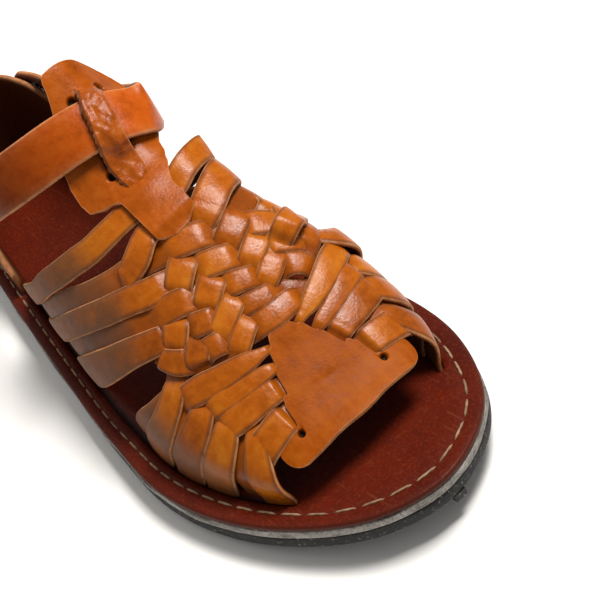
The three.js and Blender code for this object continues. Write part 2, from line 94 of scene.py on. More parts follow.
# ---- the weave ----
# Rows of a strip are (x, across, height, width) and, where one edge stands higher, how much
# the left one is raised. Height is 1 where the strip passes over, 0 where it passes under.
# The side fans are given for the lateral side.
REAR_FAN = [
    [(80.5, -134.5, 0.9, 9), (97.5, -107, 1, 8.6), (107, -92, 1, 8.2), (116.5, -78, 1, 8),
     (124.2, -66.5, 1, 8), (132, -54, 1, 8.4), (139.8, -42.5, 1, 8.8), (146, -33, 1, 9),
     (150.8, -25, 1, 9.2), (154, -16.5, 1.1, 9.2), (156, -8.5, 0.9, 9)],
    [(91.5, -129, 0.4, 10.5), (105.5, -106, 0.4, 10.5), (115.5, -91, 0.4, 10.2),
     (125, -76, 0.4, 10), (134.5, -62.5, 0.4, 10), (146, -48.5, 0.4, 10),
     (154.5, -39, 0.5, 9.6), (160.8, -30.5, 0.5, 9), (166, -21, 0, 9)],
    [(100.5, -123, 0.9, 9), (113.5, -102, 1, 9), (123, -88, 1, 8.8), (134.3, -72, 1, 8.8),
     (145, -58.5, 1, 9), (156.5, -45.5, 1, 9.2), (165.2, -36, 1, 9.4), (171.5, -28, 1, 9.6)],
    [(111, -116, 0.4, 10.5), (121.5, -100, 0.4, 10.5), (131, -87, 0.4, 10.2),
     (141.5, -72, 0.4, 10), (153, -58.5, 0.4, 10), (164.5, -46.5, 0.4, 9.8),
     (174.5, -35.5, 0.5, 9.6)],
    [(132, -101, 0.9, 12), (141, -86, 1, 12), (152.5, -71.5, 1, 12.2), (163.2, -60, 1, 12.2),
     (171.5, -50.5, 1, 11.2), (178.8, -41, 0.9, 10), (186, -31.5, 0.9, 9.2)],
]
FRONT_FAN = [
    [(195.5, -32, -0.1, 8), (198.6, -37.5, 0.6, 8.4), (199.6, -44, 1, 9.4), (198.4, -52, 1, 10.6),
     (194.6, -62, 1, 11.4), (187.5, -81, 0.9, 12)],
    [(206, -28, -0.6, 5), (210.2, -33.2, 0.3, 6.8), (211.6, -38, 0.9, 9.2),
     (211.6, -44, 1, 10.8), (209.8, -53, 1, 11.4), (207, -63, 1, 11.8), (203, -76, 0.9, 12)],
    [(212, -25, -0.6, 5), (218.2, -30.6, 0.3, 6.8), (221.4, -36, 0.9, 9.4), (222.2, -42, 1, 11),
     (221.6, -49, 1, 11.6), (220, -57, 1, 12), (217.6, -69, 0.9, 12.2)],
    [(220, -19, -0.6, 5), (227, -25.6, 0.3, 5.4), (231.4, -30.8, 0.9, 7.4),
     (235.4, -35.8, 1, 9.4), (238.4, -41, 0.9, 10.6), (239.8, -47, 0.8, 11.4),
     (240.2, -53, 0.7, 11.6)],
]
# The medial ones that differ: the first front strip and the fourth rear one stand proud, and
# the neck strip bows out in a loose square loop
FRONT_MEDIAL_FIRST = [
    (196, 33, 0.3, 8), (198.8, 36, 1.4, 8.6), (200.4, 39.5, 2.2, 9, 0.5), (200.6, 43.5, 2.2, 9.4),
    (199, 50, 1.5, 10), (197, 56, 1, 10.8), (194.6, 62, 1, 11.4), (187.5, 81, 0.9, 12)]
LOOP_MEDIAL = [
    (158.8, 0.5, 0.1, 8), (161, 6, 0.4, 8.6), (160.8, 10, 1, 9), (158.8, 15, 2, 9, 0.4),
    (156.8, 19.5, 3, 9, 1.2), (155.2, 23, 3.8, 9, 2), (154.6, 24.4, 4, 9, 2.1),
    (154.2, 25.2, 3.6, 9, 2), (153.6, 26.2, 2.4, 9, 1.6), (152, 28.6, 1.4, 9, 0.6),
    (147, 34, 1.1, 8.8), (139.8, 42.5, 1, 8.6), (132, 54, 1, 8.4),
    (124.2, 66.5, 1, 8), (116.5, 78, 1, 8), (107, 92, 1, 8.2), (97.5, 107, 1, 8.6),
    (80.5, 134.5, 0.9, 9)]
# Narrower strips seen between the front ones, set back
FRONT_FILL = [
    [(197, -42, 0, 6), (192, -53, 0.3, 8), (186, -63, 0.4, 9), (181, -74, 0.4, 9.5),
     (178, -86, 0.3, 9.5)],
    [(207, -35, -0.3, 6), (205, -44, 0.4, 7), (203, -55, 0.5, 8), (200, -66, 0.5, 9),
     (196, -79, 0.3, 9.5)],
    [(224, -32, -0.3, 6), (228.6, -38, 0.1, 8), (230.6, -44, 0.3, 9), (231.2, -51, 0.3, 9),
     (231, -61, 0.2, 9)],
]
# Strips that come up between the front fans and go down through slits in the toe plate
PLATE_STRIPS = [
    [(199, -47, -0.5, 7), (203.2, -38.5, 0.5, 8), (207.2, -31, 1, 9.4),
     (210.2, -25.5, 1, 9), (212.7, -19.5, 1.1, 8), (214.6, -13.5, 1.1, 6.2),
     (215.8, -8.5, 0.9, 3.4), (217.4, -1, -0.6, 2.6)],
    [(208, -44, -0.5, 7), (212.4, -35, 0.4, 7.6), (215.1, -29, 0.95, 7.6),
     (217.3, -24, 1, 7.2), (219, -18.5, 1, 6.4), (220.4, -12.5, 0.9, 5),
     (221.2, -9, 0.5, 3.6), (222.6, -2, -0.8, 3)],
    [(217, -44, -0.5, 9), (220, -34.5, 0.5, 9.4), (222.4, -28.5, 1, 9.8),
     (224.2, -22.5, 1, 9.4), (225.6, -16, 1, 8.4), (226.6, -12, 0.2, 7.6), (228.4, -5, -0.9, 7)],
    [(231.5, -44, -0.6, 10), (233.4, -34, 0.3, 10.6), (234, -27, 0.9, 10.8),
     (234, -20.5, 1, 10.4), (234.2, -16.4, 0.2, 9.8), (235, -9, -1, 8)],
]
WEAVE_TO_MEDIAL = [   # from the lateral rear to the medial front
    [(171.5, -10.5, 0.2, 9.6), (176.5, 0, 1, 10), (182, 12.5, 0, 9.6), (187.2, 21.5, 1, 9),
     (192, 29.5, 0.4, 8.5)],
    [(177, -20.5, 1, 9.8), (182, -9.7, 0, 9.6), (187.5, 2, 1, 9.4), (191.7, 12.6, 0, 8.8),
     (195.4, 21.5, 1, 8.4), (200, 28.5, 0.3, 8)],
    [(180.8, -28, 0.4, 9.4), (186, -17.8, 1, 9.6), (192, -7, 0, 8.8), (196.6, 3, 1, 8),
     (200, 12, 0, 7.8), (203.6, 20.5, 1, 8)],
    [(191, -24, 0, 8.8), (196.3, -15.3, 1, 8.2), (200.4, -8, 0, 7.6), (203.9, 2, 1, 7),
     (207, 12.5, 0.1, 6.6), (213.5, 19, -0.4, 6)],
]
WEAVE_TO_LATERAL = [  # from the medial rear to the lateral front
    [(161.2, 31.2, 2, 10.6, -1.2), (165, 25.4, 2.4, 11.2, -1.2), (169, 19.2, 1.5, 11.4),
     (172.8, 12.5, 1, 11.4), (177, 0.5, 0, 9.8), (181.8, -10, 1, 9.6),
     (186.3, -17.8, 0, 9), (191, -24.3, 1, 8.8)],
    [(172.5, 31, 0.8, 9.4), (178.3, 22, 0.2, 9.4), (183, 13.6, 1, 9.6), (187.5, 2.3, 0, 9.2),
     (192, -7.2, 1, 9.2), (196.3, -15.3, 0, 8.4), (200.8, -24.3, 1, 8.6)],
    [(182, 30, 0.8, 8.8), (187.2, 22, 0, 8.8), (192, 13.6, 1, 8.8), (196.6, 3.3, 0, 8),
     (200.5, -7.8, 1, 8.2), (204.6, -18.5, 0.2, 7.6)],
    [(190.2, 31, 1.6, 8.4), (191.8, 28, 2.9, 8.8), (193.2, 25.2, 3.3, 8.8),
     (194.4, 22.8, 2.7, 8.6), (196.4, 18.6, 0.6, 8), (200, 12, 1, 8), (203.9, 2.3, 0, 7),
     (208.3, -9.8, 1, 7.6), (213.5, -18.5, -0.4, 6.8)],
]
EDGE_STRIP = [(187.5, -34.5, 0, 6), (191.8, -33, 0.9, 7), (196.5, -30.2, 1, 8.4),
              (200.8, -25, 0, 8), (203.4, -18.2, 0.9, 8), (207.4, -10, 0, 8),
              (210.3, 1.5, 1.1, 8.6), (210.6, 9, 0.9, 8.4), (212.4, 17, -0.5, 6.5)]
EDGE_HOOK = [(187.5, 34.5, 0, 6), (192, 33.4, 0.9, 7.4), (197, 30.6, 1, 8.4),
             (201.2, 26, 0.3, 7.8), (204, 20, -0.4, 7)]
# Last rows of each rear strip that its medial mirror leaves out, where it turns another way
MEDIAL_ROWS_LEFT_OUT = (2, 1, 0, 0)
NECK_STRIP = [(166, 6, 0.2, 8), (165.4, -4, 0.4, 8.2), (165.8, -9.5, 1.2, 8.6),
              (167.6, -16, 1.3, 9.4), (167, -23, 0.8, 8.4), (163.5, -29, -0.3, 7)]

# Heights of a strip's top over the skin, its crown, how much wider it is than its row says,
# and how far its ends are drawn in at the insole
OVER_LIFT, UNDER_LIFT = 1.65, -0.5
STRIP_CROWN = 0.28
WIDTH_EASE = 1.05
FOOT_DRAW, DRAW_FROM = 3.2, 0.72

# ---- toe plate, tongue and strap ----
# Toe plate: its half width, its front edge and corners, and its rear edge: across, x
PLATE_HALF, PLATE_FRONT, PLATE_BOW, PLATE_CORNER, PLATE_EAR = 27.6, 249.0, 0.0022, 5.2, 2.2
PLATE_REAR = np.array([
    (0, 213.6), (5.2, 214.2), (7.2, 216.8), (9.4, 220.6), (10.8, 224), (12.4, 228.6),
    (15.6, 230.4), (16.8, 238.2), (18, 238.8), (27.6, 239)])
# Tongue: x, middle, half width, lift
TONGUE = np.array([
    (113, 7.2, 4.2, 3.2), (113.5, 7.7, 5.8, 3.2), (114.5, 8.7, 7.6, 3.2), (116, 10, 9.4, 3.1),
    (117.5, 10.7, 10.8, 3), (119.5, 10.9, 12.1, 2.9), (121.5, 10.6, 13, 2.8),
    (124, 9.8, 14.2, 2.7), (126, 8.7, 15, 2.6), (130, 6.3, 16.6, 2.4), (137, 3.3, 18, 2),
    (142, 0.9, 16.9, 1.6), (146, -0.1, 15.7, 1.1), (149.5, 1.7, 13.2, 0.6), (151.2, 3, 10.9, 0.5),
    (153, 3.6, 9.8, 0.5), (156, 2.8, 8.9, 0.5), (160, 1.8, 8, 0.4), (170, 1.5, 8, 0.4),
    (172.5, 1.5, 6, 0.4)])
TONGUE_ROUND_FROM, TONGUE_END_RADIUS = 169.5, 4.0
# Holes of the toe plate and of the tongue: x, across
PLATE_HOLES = [(240.3, -18), (240.3, 18)]
TONGUE_HOLES = [(123.2, 4), (122.6, 12.6), (139.6, 9.4), (145.2, -2.4)]
PLATE_HOLE_RADIUS, TONGUE_HOLE_RADIUS = 1.25, 1.5
PLATE_THICKNESS, PLATE_HOLE_DEPTH = 2.2, 1.9
TONGUE_THICKNESS, TONGUE_HOLE_DEPTH, WINDOW_DEPTH = 2.1, 1.8, 1.5
TONGUE_GAP = 0.2         # left below the tongue
# Slits in the toe plate's rear edge: across, half width, depth
PLATE_SLITS = [(5.5, 1.2, 2.2), (8.5, 1.2, 2.4), (12, 1.2, 2.0), (15.5, 1.0, 1.6)]
# Loop of the tongue over the strap: x, middle, lift of its top, width
BRIDGE = np.array([
    (121.4, 8.8, 4.6, 8.2), (123, 8.5, 5.8, 8.4), (124.2, 8.2, 8.4, 8.8), (126.2, 7.7, 11, 9),
    (129.4, 6.9, 12.1, 9.4), (133.4, 5.8, 12.7, 9.6), (137.4, 4.7, 12.6, 9.8),
    (140.6, 4, 11, 10.2), (142.8, 3.5, 8.2, 10.6), (144.8, 3.2, 6, 11),
    (147.4, 3, 4.9, 10.6), (150.4, 2.8, 4.1, 9.8), (153.4, 2.6, 3.2, 8.4), (155.6, 2.5, 2, 6.6)])
STRAP_LIFT = 7.6
STRAP_END = 8.0          # length over which each end is rounded
# Ankle strap over the skin: x, across, lift; and on the heel counter: from, height
STRAP_SKIN = [
    (103, -52, 5), (114.5, -35, 7), (123.5, -19, STRAP_LIFT), (130, -3, STRAP_LIFT),
    (133, 8, STRAP_LIFT)]
# Its medial part in space, where it stands upright: x, y, z and the way it faces
STRAP_MEDIAL = np.array([
    (138.9, 21.4, 93.6, 0.52, 0.66, 0.44), (137.8, 25.3, 91, 0.4, 0.91, 0.04),
    (132.4, 27.8, 87.8, 0.12, 0.99, 0),
    (121, 29.8, 80.4, 0, 1, 0.04), (105, 30.2, 72, 0, 1, 0.05), (87, 29, 63.6, 0, 1, 0.08)])
STRAP_HEEL_LATERAL = [(-38, 45), (-52, 47.5), (-67, 52), (-84, 60)]
STRAP_HEEL_MEDIAL = [(67, 53.5), (52, 50), (38, 48.5)]

# ---- heel counter ----
# Top edge: distance from the back of the heel, height
COUNTER_TOP = np.array([(0, 57), (40, 57), (52, 55), (60, 49), (75, 40), (88, 31), (98, 25)])
BULGE_HEIGHT, BULGE_INSET, BULGE_CLOSING, BULGE_OVER = 28.0, 5.0, 5.0, 30.0

# ---- tread ----
TREAD_FIRST, TREAD_PITCH, TREAD_COUNT, TREAD_BLOCK = 16.0, 20.7, 13, 13.0
TREAD_MARGIN, TREAD_GROOVE = 5.0, 5.0
# Nib of rubber under the toe: x from and to, y from and to, depth
NIB = (276.6, 280.0, 6.0, 10.5, 3.2)

# ---- the insole's slot for the strips, and the stitches ----
SLOT_REAR, SLOT_FRONT, SLOT_DEPTH = 84, 244, 0.9
STITCH_SIDES = 6
LONGER_AT_TOE = 0.42     # share by which the pitch grows between these stations
TOE_STITCHES = (205, 250)
COUNTER_STITCH_DROP = 4.5

# ---- stage ----
CAMERA_TARGET = (184.9, 25.6, 22.0)
CAMERA_AZIMUTH, CAMERA_ELEVATION, CAMERA_ROLL = 68.7, 45.0, -26.0
CAMERA_DISTANCE = 579.9
CAMERA_LENS = 101.3
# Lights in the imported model's frame: place in metres, size in metres, power in watts
KEY_LIGHT = ((0.12, 0.31, 0.82), 0.28, 9.6)
FILL_LIGHT = ((-0.6, -0.3, 0.6), 0.7, 1.1)
LIGHTS_AIM_AT = (0.03, 0.0, 0.03)
SKY_STRENGTH = 0.3
FLOOR_REACH, FLOOR_DROP = 3.0, 0.0002


# ---- curves and tables ----
def through(points, per_span, closed=False):
    """Smooth curve through points: a centripetal Catmull-Rom spline, which is a cubic on
    each span with its end slopes weighed by the square root of the spans' lengths."""
    points = np.asarray(points, float)
    if closed:
        wrapped = np.vstack([points[-1:], points, points[:2]])
    else:
        start, end = 2 * points[0] - points[1], 2 * points[-1] - points[-2]
        wrapped = np.vstack([start, points, end])
    p0, p1, p2, p3 = wrapped[:-3], wrapped[1:-2], wrapped[2:-1], wrapped[3:]

    def gap(a, b):
        return np.sqrt(np.linalg.norm(b - a, axis=1, keepdims=True)).clip(1e-6)

    d0, d1, d2 = gap(p0, p1), gap(p1, p2), gap(p2, p3)
    m1 = d1 * ((p1 - p0) / d0 - (p2 - p0) / (d0 + d1) + (p2 - p1) / d1)
    m2 = d1 * ((p2 - p1) / d1 - (p3 - p1) / (d1 + d2) + (p3 - p2) / d2)
    t = (np.arange(per_span) / per_span)[None, :, None]
    p1, p2, m1, m2 = (v[:, None, :] for v in (p1, p2, m1, m2))
    curve = ((2 * t**3 - 3 * t**2 + 1) * p1 + (t**3 - 2 * t**2 + t) * m1
             + (3 * t**2 - 2 * t**3) * p2 + (t**3 - t**2) * m2)
    curve = curve.reshape(-1, points.shape[1])
    return curve if closed else np.vstack([curve, points[-1:]])


def smooth_at(rows, x):
    """All columns of a table at the stations x, on a cubic through its rows."""
    x = np.asarray(x, float)
    i = np.clip(np.searchsorted(rows[:, 0], x) - 1, 0, len(rows) - 2)
    low = np.maximum(np.arange(len(rows)) - 1, 0)
    high = np.minimum(np.arange(len(rows)) + 1, len(rows) - 1)
    slope = (rows[high] - rows[low]) / (rows[high, :1] - rows[low, :1])
    span = (rows[i + 1, 0] - rows[i, 0])[..., None]
    t = (x[..., None] - rows[i, :1]) / span
    s = t * t * (3 - 2 * t)
    start = rows[i] + slope[i] * span * t
    end = rows[i + 1] + slope[i + 1] * span * (t - 1)
    return start * (1 - s) + end * s


def column(rows, key, x):
    """One column of a table at x, on straight lines; the first column is x."""
    return np.interp(x, rows[:, 0], rows[:, key])


def ramp(value, low, high):
    """0 below low, 1 above high, and a smooth step (3t^2 - 2t^3) between them."""
    t = np.clip((np.asarray(value, float) - low) / (high - low), 0, 1)
    return t * t * (3 - 2 * t)


def unit(v):
    """Vectors at length 1."""
    return v / np.linalg.norm(v, axis=-1, keepdims=True).clip(1e-9)


def run_along(points):
    """Distance along a path to each of its points."""
    steps = np.linalg.norm(np.diff(points, axis=0), axis=1)
    return np.concatenate([[0], np.cumsum(steps)])


# ---- sole outline ----
def sole_loop():
    """The sole's outline, anticlockwise from the heel: a closed smooth curve."""
    medial = SOLE_OUTLINE[:, [0, 1]]
    lateral = SOLE_OUTLINE[::-1, [0, 2]] * (1, -1)
    return through(np.vstack([[(0, 0)], medial, [(LENGTH, TOE_TIP_Y)], lateral]), 24, True)


LOOP = sole_loop()
IS_MEDIAL = LOOP[:, 1] > TOE_TIP_Y * LOOP[:, 0] / LENGTH


def edge_y(side, x):
    """The y of the sole's edge at x, on its "medial" or "lateral" side."""
    rows = LOOP[IS_MEDIAL] if side == "medial" else LOOP[~IS_MEDIAL]
    rows = rows[np.argsort(rows[:, 0])]
    return np.interp(x, rows[:, 0], rows[:, 1])


def spring(x):
    """Toe spring: a parabola from SPRING_START of the length to the tip."""
    part = (np.asarray(x, float) / LENGTH - SPRING_START) / (1 - SPRING_START)
    return TOE_LIFT * np.maximum(part, 0)**2


# ---- skin of the last ----
STATIONS = np.arange(70, 262.01, 1.0)
ACROSS_STEP = 0.5
ACROSS = np.arange(-140, 140.01, ACROSS_STEP)


def make_skin():
    """Points and normals of the last on a grid of (station, across). Each section is two
    superellipse quarters from the feet to the ridge; below a foot it goes straight down."""
    row = smooth_at(LAST, STATIONS)
    ridge_z, ridge_y, inset, medial_full, lateral_full = row[:, 1:].T
    foot_z = INSOLE_TOP + FOOT_GAP + spring(STATIONS)
    angle = np.pi * (np.arange(241) / 240 - 0.5)
    medial = angle > 0
    foot_y = np.where(medial, (edge_y("medial", STATIONS) - inset)[:, None],
                      (edge_y("lateral", STATIONS) + inset)[:, None])
    power = 2 / np.where(medial, medial_full[:, None], lateral_full[:, None])
    y = ridge_y[:, None] + (foot_y - ridge_y[:, None]) * np.abs(np.sin(angle)) ** power
    rise = np.clip(np.cos(angle), 0, 1) ** power
    z = foot_z[:, None] + (ridge_z - foot_z)[:, None] * rise
    step = np.hypot(np.diff(y, axis=1), np.diff(z, axis=1))
    girth = np.hstack([np.zeros((len(y), 1)), np.cumsum(step, axis=1)])
    points = np.zeros((len(STATIONS), len(ACROSS), 3))
    feet = np.zeros((len(STATIONS), 2))
    for k, station in enumerate(STATIONS):
        around = girth[k] - np.interp(MIDDLE_Y, y[k], girth[k])
        feet[k] = around[0], around[-1]
        below = np.maximum(around[0] - ACROSS, 0) + np.maximum(ACROSS - around[-1], 0)
        points[k, :, 0] = station
        points[k, :, 1] = np.interp(ACROSS, around, y[k])
        points[k, :, 2] = np.interp(ACROSS, around, z[k]) - below
    normals = np.cross(np.gradient(points, axis=0), np.gradient(points, axis=1))
    return points, unit(normals), feet


SKIN, SKIN_NORMALS, FEET = make_skin()


def sample(table, x, across):
    """Bilinear value of a skin table at (x, across)."""
    i = np.clip(np.asarray(x, float) - STATIONS[0], 0, len(STATIONS) - 1.001)
    j = (np.asarray(across, float) - ACROSS[0]) / ACROSS_STEP
    j = np.clip(j, 0, len(ACROSS) - 1.001)
    i0, j0 = i.astype(int), j.astype(int)
    u, v = (i - i0)[..., None], (j - j0)[..., None]
    rear = table[i0, j0] * (1 - v) + table[i0, j0 + 1] * v
    front = table[i0 + 1, j0] * (1 - v) + table[i0 + 1, j0 + 1] * v
    return rear * (1 - u) + front * u


def on_skin(x, across, lift):
    """The place at (x, across), moved out square to the skin by lift."""
    normal = unit(sample(SKIN_NORMALS, x, across))
    return sample(SKIN, x, across) + normal * np.asarray(lift, float)[..., None]


def foot_girth(x, across):
    """Distance around the foot from the middle plane down to the insole, on the side where
    across is."""
    lateral, medial = (np.interp(x, STATIONS, FEET[:, k]) for k in (0, 1))
    return np.where(across > 0, medial, -lateral)


# ---- heel counter surface ----
def heel_rows():
    """The sole's edge round the heel: distance from the back of the heel, x, y. Its points
    are put in order by their angle about a place on the middle line."""
    reach = 115
    rows = LOOP[LOOP[:, 0] < reach]
    rows = rows[np.argsort(np.arctan2(rows[:, 1], reach - rows[:, 0]))]
    run = run_along(rows)
    back = np.argmin(np.hypot(*rows.T))
    return np.column_stack([run - run[back], rows])


HEEL = heel_rows()


def counter_point(distance, height, lift):
    """A place on the heel counter's outside, which leans in below and above its fullest
    height by a parabola, moved out square to the sole's edge by lift."""
    distance, height, lift = np.broadcast_arrays(
        *(np.asarray(v, float) for v in (distance, height, lift)))
    step = 4.0                       # to either side, for the direction of the edge
    ahead = np.stack([column(HEEL, k, distance + step) for k in (1, 2)], axis=-1)
    behind = np.stack([column(HEEL, k, distance - step) for k in (1, 2)], axis=-1)
    along = unit(ahead - behind)
    outward = np.stack([-along[..., 1], along[..., 0]], axis=-1)
    inset = BULGE_INSET + BULGE_CLOSING * ((height - BULGE_HEIGHT) / BULGE_OVER)**2
    place = np.stack([column(HEEL, k, distance) for k in (1, 2)], axis=-1)
    place = place + outward * (lift - inset)[..., None]
    return np.concatenate([place, height[..., None]], axis=-1)


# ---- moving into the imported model's frame, and making meshes ----
SHIFT = np.array([
    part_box("outsole")[0][0] * 1000 - FACET_LOSS,
    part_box("outsole")[0][1] * 1000 - LOOP[:, 1].min(),
    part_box("outsole")[0][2] * 1000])


def to_frame(points):
    """Millimetres in the maker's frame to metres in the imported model's frame."""
    return (np.asarray(points, float) + SHIFT) * 0.001


class Shape:
    """Collects grids of points into one mesh, with per-point values and a UV in metres."""

    def __init__(self):
        self.points, self.faces, self.values, self.uv = [], [], [], []
        self.count = 0

    def grid(self, points, uv, values, wrap=False):
        """Adds a grid [row, column] of points; wrap closes its columns into a tube."""
        rows, columns = points.shape[:2]
        index = np.arange(rows * columns).reshape(rows, columns) + self.count
        right = np.roll(index, -1, axis=1) if wrap else index[:, 1:]
        left = index if wrap else index[:, :-1]
        quads = np.stack([left[:-1], right[:-1], right[1:], left[1:]], axis=-1)
        self.faces += quads.reshape(-1, 4).tolist()
        self.count += index.size
        self.points.append(points.reshape(-1, 3))
        self.uv.append(np.asarray(uv, float).reshape(-1, 2))
        self.values.append({key: np.broadcast_to(value, (rows, columns)).ravel()
                            for key, value in values.items()})
        return index

    def tube(self, points, uv, values):
        """Adds rings of points as a tube, and closes each of its ends with one face."""
        index = self.grid(points, uv, values, wrap=True)
        self.faces += [index[0][::-1].tolist(), index[-1].tolist()]

    def build(self, name, material, slot):
        """Makes the object and rides it on the root body; its slot is not used. A value that a
            grid doesn't give is 0 there."""
        mesh = bpy.data.meshes.new(name)
        mesh.from_pydata(to_frame(np.vstack(self.points)).tolist(), [], self.faces)
        mesh.update()
        for key in sorted({key for part in self.values for key in part}):
            data = np.concatenate([part.get(key, np.zeros(len(points)))
                                   for part, points in zip(self.values, self.points)])
            layer = mesh.attributes.new(key, "FLOAT", "POINT")
            layer.data.foreach_set("value", data.astype(np.float32))
        corner = np.zeros(len(mesh.loops), dtype=np.int32)
        mesh.loops.foreach_get("vertex_index", corner)
        layer = mesh.uv_layers.new(name="along")
        layer.data.foreach_set("uv", (np.vstack(self.uv)[corner] * 0.001).ravel())
        mesh.polygons.foreach_set("use_smooth", [True] * len(mesh.polygons))
        face_outwards(mesh)
        piece = bpy.data.objects.new(name, mesh)
        bpy.context.scene.collection.objects.link(piece)
        mesh.materials.append(material)
        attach(piece, "root")
        return piece


def face_outwards(mesh):
    """Turns the whole mesh over if its signed volume is negative."""
    count = len(mesh.vertices)
    points = np.zeros(count * 3)
    mesh.vertices.foreach_get("co", points)
    points = points.reshape(-1, 3)
    mesh.calc_loop_triangles()
    corners = np.zeros(len(mesh.loop_triangles) * 3, dtype=np.int32)
    mesh.loop_triangles.foreach_get("vertices", corners)
    a, b, c = points[corners.reshape(-1, 3)].transpose(1, 0, 2)
    if np.einsum("ij,ij->i", a, np.cross(b, c)).sum() < 0:
        mesh.flip_normals()
        mesh.update()


# ---- strips ----
# Cross section of a strip, once round: place across (-1 to 1), height (0 to 1 of the
# thickness), how much of it is cut edge, and how much has the dark underside colour, which on
# the lower side walls is painted shade in the gaps between strips.
SECTION = np.array([
    (-1, 0.2, 0.3, 0.8), (-1, 0.68, 1, 0), (-0.97, 0.9, 0.8, 0), (-0.9, 1, 0.1, 0),
    (-0.6, 1, 0, 0), (-0.3, 1, 0, 0), (0, 1, 0, 0), (0.3, 1, 0, 0), (0.6, 1, 0, 0),
    (0.9, 1, 0.1, 0), (0.97, 0.9, 0.8, 0), (1, 0.68, 1, 0), (1, 0.2, 0.3, 0.8),
    (0.93, 0, 0.5, 1), (0.45, 0, 0, 1), (0, 0, 0, 1), (-0.45, 0, 0, 1), (-0.93, 0, 0.5, 1)])
SECTION_FINE = np.vstack([
    SECTION[:4], [(p, 1, 0, 0) for p in np.linspace(-0.8, 0.8, 17)], SECTION[9:]])
HEIGHT_WEIGHT = 8.0      # evens a row's height with its other numbers in the smooth curve
rng = np.random.default_rng(7)


def dust_share(x, across):
    """0 to 1 towards the foot: dust starts 22 mm from the middle at the rear strips and
    42 mm from it at the front ones."""
    start = 22 + 20 * ramp(x, 165, 198)
    return ramp(np.abs(across) - start, 0, 15)


def strip(shape, rows, lateral=True):
    """Adds one strip: a smooth path in (x, across) with the section carried along it, its
    side taken square to the path on the skin, its top lifted by the over and under rows."""
    table = np.array([row if len(row) > 4 else (*row, 0) for row in rows], float)
    table *= (1, 1 if lateral else -1, HEIGHT_WEIGHT, WIDTH_EASE, 1)
    x, across, height, width, tilt = through(table, 9).T
    height = height / HEIGHT_WEIGHT
    centre = on_skin(x, across, 0 * x)
    # the step to the side, in stations and girth, that is square to the path in space
    reach = 1.0
    per_x = (on_skin(x + reach, across, 0 * x) - on_skin(x - reach, across, 0 * x)) / 2
    per_across = (on_skin(x, across + reach, 0 * x) - on_skin(x, across - reach, 0 * x)) / 2
    heading = unit(np.gradient(centre, axis=0))
    normal = unit(sample(SKIN_NORMALS, x, across))
    side = np.cross(normal, heading)
    frame_of_two = np.stack([per_x, per_across], axis=1)
    gram = frame_of_two @ frame_of_two.transpose(0, 2, 1)
    step = np.linalg.solve(gram, frame_of_two @ side[..., None])[..., 0]
    place, rise, cut, flesh = SECTION.T
    half = (width / 2)[:, None] * place
    strip_x = x[:, None] + step[:, :1] * half
    strip_across = across[:, None] + step[:, 1:] * half
    # the change from under to over is made steep by two smooth steps, one in the other
    level = np.clip(height, 0, 1)
    height = height - level + ramp(ramp(level, 0, 1), 0, 1)
    top = UNDER_LIFT + (OVER_LIFT - UNDER_LIFT) * height
    reached = np.abs(strip_across) / foot_girth(strip_x, strip_across)
    lift = (top[:, None] - FOOT_DRAW * ramp(reached, DRAW_FROM, 1.0)
            + STRIP_CROWN * (1 - place**2) * (rise > 0)
            - millimetres("strip_thickness") * (1 - rise) + tilt[:, None] * place)
    points = on_skin(strip_x, strip_across, lift)
    tint = rng.uniform(-1, 1)
    run = np.broadcast_to(run_along(centre)[:, None], half.shape)
    uv = np.stack([run + 40 * tint, half], axis=-1)   # no two strips share their pattern
    values = {"cut": cut[None, :], "flesh": flesh[None, :],
              "down": dust_share(strip_x, strip_across),
              # painted shade where the strip passes under others
              "tint": tint, "deep": np.clip(1 - height, 0, 1)[:, None] * 0.6,
              "side": np.abs(place)[None, :] * (rise > 0.8)[None, :]}
    shape.tube(points, uv, values)


def mirrored(rows):
    """A strip's rows on the foot's other side."""
    return [(x, -across, height, width) for x, across, height, width in rows]


# ---- materials ----
def linear(text):
    """An sRGB hex colour as linear red, green, blue, alpha."""
    parts = [int(text[i:i + 2], 16) / 255 for i in (1, 3, 5)]
    turned = [v / 12.92 if v <= 0.04045 else ((v + 0.055) / 1.055)**2.4 for v in parts]
    return (*turned, 1.0)


class Nodes:
    """A material's node tree, with one call that adds a node, its settings and links."""

    def __init__(self, name):
        self.material = bpy.data.materials.new(name)
        self.material.use_nodes = True
        self.tree = self.material.node_tree
        self.shader = self.tree.nodes["Principled BSDF"]

    def add(self, kind, inputs=(), output=0, **settings):
        """Adds a node and returns the chosen output. inputs maps a socket's name or number
        to a value or to another node's output."""
        node = self.tree.nodes.new(kind)
        for key, value in settings.items():
            setattr(node, key, value)
        for key, value in dict(inputs).items():
            self.put(node.inputs[key], value)
        return node.outputs[output]

    def put(self, socket, value):
        """Sets a socket, or links another node's output to it."""
        if isinstance(value, bpy.types.NodeSocket):
            self.tree.links.new(value, socket)
        else:
            socket.default_value = value

    def surface(self, **inputs):
        """Sets the shader's own sockets, given by name with underscores for spaces."""
        for key, value in inputs.items():
            self.put(self.shader.inputs[key.replace("_", " ")], value)
        return self.material

    def math(self, operation, a, b=0.0, clamp=False):
        return self.add("ShaderNodeMath", {0: a, 1: b}, operation=operation, use_clamp=clamp)

    def mix(self, share, a, b):
        """The colour a, turned to b by share."""
        return self.add("ShaderNodeMix", {0: share, 6: a, 7: b}, 2, data_type="RGBA")

    def value(self, name):
        """A per-point value of the mesh."""
        return self.add("ShaderNodeAttribute", (), 2, attribute_name=name)

    def noise(self, vector, scale, detail=3.0, roughness=0.55):
        """Fractal noise whose clouds are 1 / scale metres across."""
        return self.add("ShaderNodeTexNoise", {
            "Vector": vector, "Scale": scale, "Detail": detail, "Roughness": roughness})

    def fit(self, value, low, high, to_low=0.0, to_high=1.0):
        """The range low to high stretched to another, and held at its ends."""
        return self.add("ShaderNodeMapRange", {
            0: value, 1: low, 2: high, 3: to_low, 4: to_high}, clamp=True)


